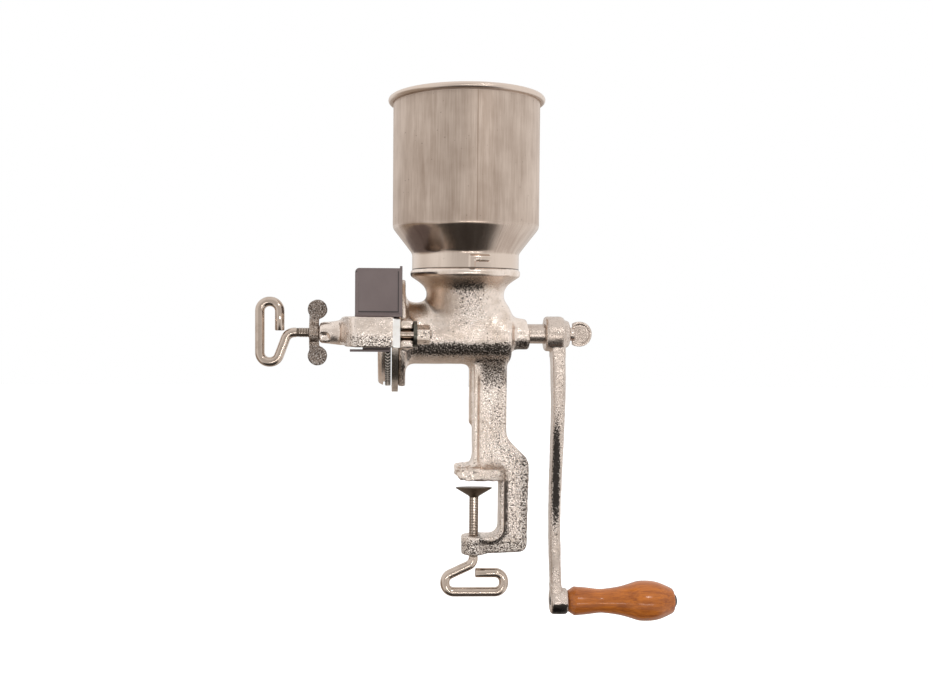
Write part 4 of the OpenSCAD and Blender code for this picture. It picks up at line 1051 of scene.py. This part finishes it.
def makeGuard():
    bm = bmesh.new()
    bm.from_mesh(nodes["guard"].data)
    bmesh.ops.remove_doubles(bm, verts=bm.verts, dist=0.002 * mm)
    flat = math.radians(guardSet["flat"])
    bmesh.ops.dissolve_limit(bm, angle_limit=flat, verts=bm.verts, edges=bm.edges)
    angle = math.radians(guardSet["angle"])
    sharp = [e for e in bm.edges if e.is_manifold and e.calc_face_angle() > angle]
    edge = guardSet["edge"]
    bmesh.ops.bevel(bm, geom=sharp, offset=edge, affect="EDGES", segments=2, profile=0.5, material=-1)
    walls = [f for f in bm.faces if f.normal.y < -0.99 and f.calc_area() > guardSet["wall"]]
    front = min(f.calc_center_median().y for f in walls)
    low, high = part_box("guard")
    left = low.x + guardSet["leftRib"]
    right = high.x - guardSet["rightRib"]
    bottom = shaftZ + guardSet["ribLow"]
    top = high.z - guardSet["ribTop"]
    rib = guardSet["rib"]
    half = rib / 2
    ribs = (
        (left - half, left + half, bottom, top), (right - half, right + half, bottom, top),
        (left + half, right - half, bottom, bottom + rib),
    )
    for x0, x1, z0, z1 in ribs:
        size = Matrix.Diagonal((x1 - x0, 2 * rib, z1 - z0, 1))
        for side in (front, -front):
            sunk = side - math.copysign(guardSet["ribSink"] * rib, side)
            spot = Matrix.Translation(((x0 + x1) / 2, sunk, (z0 + z1) / 2))
            made = bmesh.ops.create_cube(bm, size=1.0, matrix=spot @ size)
            # The ribs take the near-black coat, as painted shade lines
            for face in {f for v in made["verts"] for f in v.link_faces}:
                face.material_index = 1
    makePiece("guardHood", bm, [greyCoat, darkCoat], "mill", ["guard"], 30.0)


makeGuard()


# Clamp pad, resting a little askew on the screw's end as a loose swivel does
padSet = {
    "tilt": 7.0, "grow": 0.5 * mm, "rim": 0.8 * mm, "steps": 96, "dish": 2.0 * mm, "land": 1.4 * mm,
    "landDrop": 0.1 * mm, "round": 0.5 * mm, "roundDrop": 0.35 * mm, "collarGap": 0.2 * mm,
    "collarFoot": 0.6 * mm, "pivot": 2 * mm,
}


def makePad():
    low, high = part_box("clamp_pad")
    radius = (high.x - low.x) / 2 + padSet["grow"]
    height = high.z - low.z
    gap = padSet["collarGap"]
    collar = rodRadius + gap
    rim = padSet["rim"]
    edge = radius - padSet["round"]
    outline = (
        (0, -padSet["dish"]), (radius - padSet["land"], -padSet["landDrop"]), (edge, 0),
        (radius, -padSet["roundDrop"]), (radius, -rim), (edge, -rim - padSet["round"]),
        (collar + padSet["collarFoot"], -height * 0.9), (collar, -height * 0.95), (collar - gap, -height),
        (0, -height),
    )
    top = Vector((0, 0, high.z))
    bm = turned(outline, top, Vector((0, 0, 1)), padSet["steps"])
    pivot = Vector((0, 0, low.z + padSet["pivot"]))
    lean = Matrix.Rotation(math.radians(-padSet["tilt"]), 3, "X")
    bmesh.ops.rotate(bm, verts=bm.verts, cent=pivot, matrix=lean)
    makePiece("clampPad", bm, [padSteel], "clamp_pad", ["clamp_pad"], 35.0)


makePad()


# Ring of chevron teeth round the turning plate's rim, with painted light on the crests and painted shade in
# the valleys
teethSet = {
    "count": 96, "perTooth": 8, "rows": 6, "height": 0.9 * mm, "inset": 0.25 * mm, "skew": 0.7,
    "sink": 0.1 * mm, "thick": 1.5 * mm, "still": 1 * mm, "proud": 0.25, "bright": 0.6,
}


def makeTeeth():
    low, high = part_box("rotating_plate")
    radius = (high.z - low.z) / 2
    width = high.x - low.x - 2 * teethSet["inset"]
    rows = teethSet["rows"]
    inside = radius - teethSet["thick"]
    rim = [(radius - teethSet["sink"], width * i / rows) for i in range(rows + 1)]
    outline = [(inside, 0)] + rim + [(inside, width)]
    base = Vector((low.x + teethSet["inset"], 0, shaftZ))
    count = teethSet["count"]
    bm = turned(outline, base, Vector((1, 0, 0)), count * teethSet["perTooth"], True)
    layer = bm.verts.layers.float.new("crest")
    for v in bm.verts:
        flat = Vector((0, v.co.y, v.co.z - shaftZ))
        if flat.length < radius - teethSet["still"]:
            continue
        along = abs((v.co.x - base.x) / width - 0.5) * 2
        turn = math.atan2(flat.z, flat.y) / (2 * math.pi) * count + teethSet["skew"] * along
        crest = abs(2 * (turn % 1.0) - 1)
        v.co += flat.normalized() * (crest + teethSet["proud"]) * teethSet["height"]
        v[layer] = crest
    # Painted light and shade: crests take the light tooth finish, valleys the near-black finish
    for face in bm.faces:
        mean = sum(v[layer] for v in face.verts) / len(face.verts)
        face.material_index = int(mean > teethSet["bright"])
    makePiece("plateTeeth", bm, [blackSteel, toothTin], "crank", [], 20.0)


makeTeeth()


# Grip, turned with a crisp chamfer at its inner end
gripSet = {
    "chamfer": 6.5 * mm, "nose": 10.4 * mm, "steps": 96, "clear": 3 * mm, "cornerRise": 0.3 * mm,
    "noseEdge": 0.4 * mm, "noseDrop": 0.3 * mm, "cornerEdge": 0.25 * mm, "before": 0.4 * mm,
    "after": 0.5 * mm,
}


def makeGrip():
    low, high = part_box("grip")
    axisZ = (low.z + high.z) / 2
    rows = {}
    for v in nodes["grip"].data.vertices:
        place = round(v.co.x - low.x, 4)
        reach = math.hypot(v.co.y, v.co.z - axisZ)
        rows[place] = max(rows.get(place, 0.0), reach)
    chamfer = gripSet["chamfer"]
    nose = gripSet["nose"]
    later = [(rows[h], h) for h in sorted(rows) if h > chamfer + gripSet["clear"]]
    corner = later[0][0] + gripSet["cornerRise"]
    outline = [(0, 0), (nose - gripSet["noseEdge"], 0), (nose, gripSet["noseDrop"])]
    outline.append((corner - gripSet["cornerEdge"], chamfer - gripSet["before"]))
    outline.append((corner, chamfer + gripSet["after"]))
    outline += later + [(0, later[-1][1])]
    bm = turned(outline, Vector((low.x, 0, axisZ)), Vector((1, 0, 0)), gripSet["steps"])
    makePiece("woodGrip", bm, [turnedWood], "grip", ["grip"], 35.0)


makeGrip()


# CAD nodes whose shape is right keep their solids and get their finish
finishes = {
    "stationary_plate": plateIron, "rotating_plate": plateIron, "plate_carrier": castTin, "auger": crankTin,
    "stationary_plate_screws": zincSteel, "rotating_plate_screws": zincSteel, "drive_pin": zincSteel,
    "thrust_ball": zincSteel, "yoke_bolts": zincSteel, "yoke_washers": washerSteel, "yoke_nuts": nutTin,
    "grip_spindle": blackSteel,
}
for node, finish in finishes.items():
    nodes[node].data.materials[0] = finish
print("finishes on CAD nodes:", len(finishes))
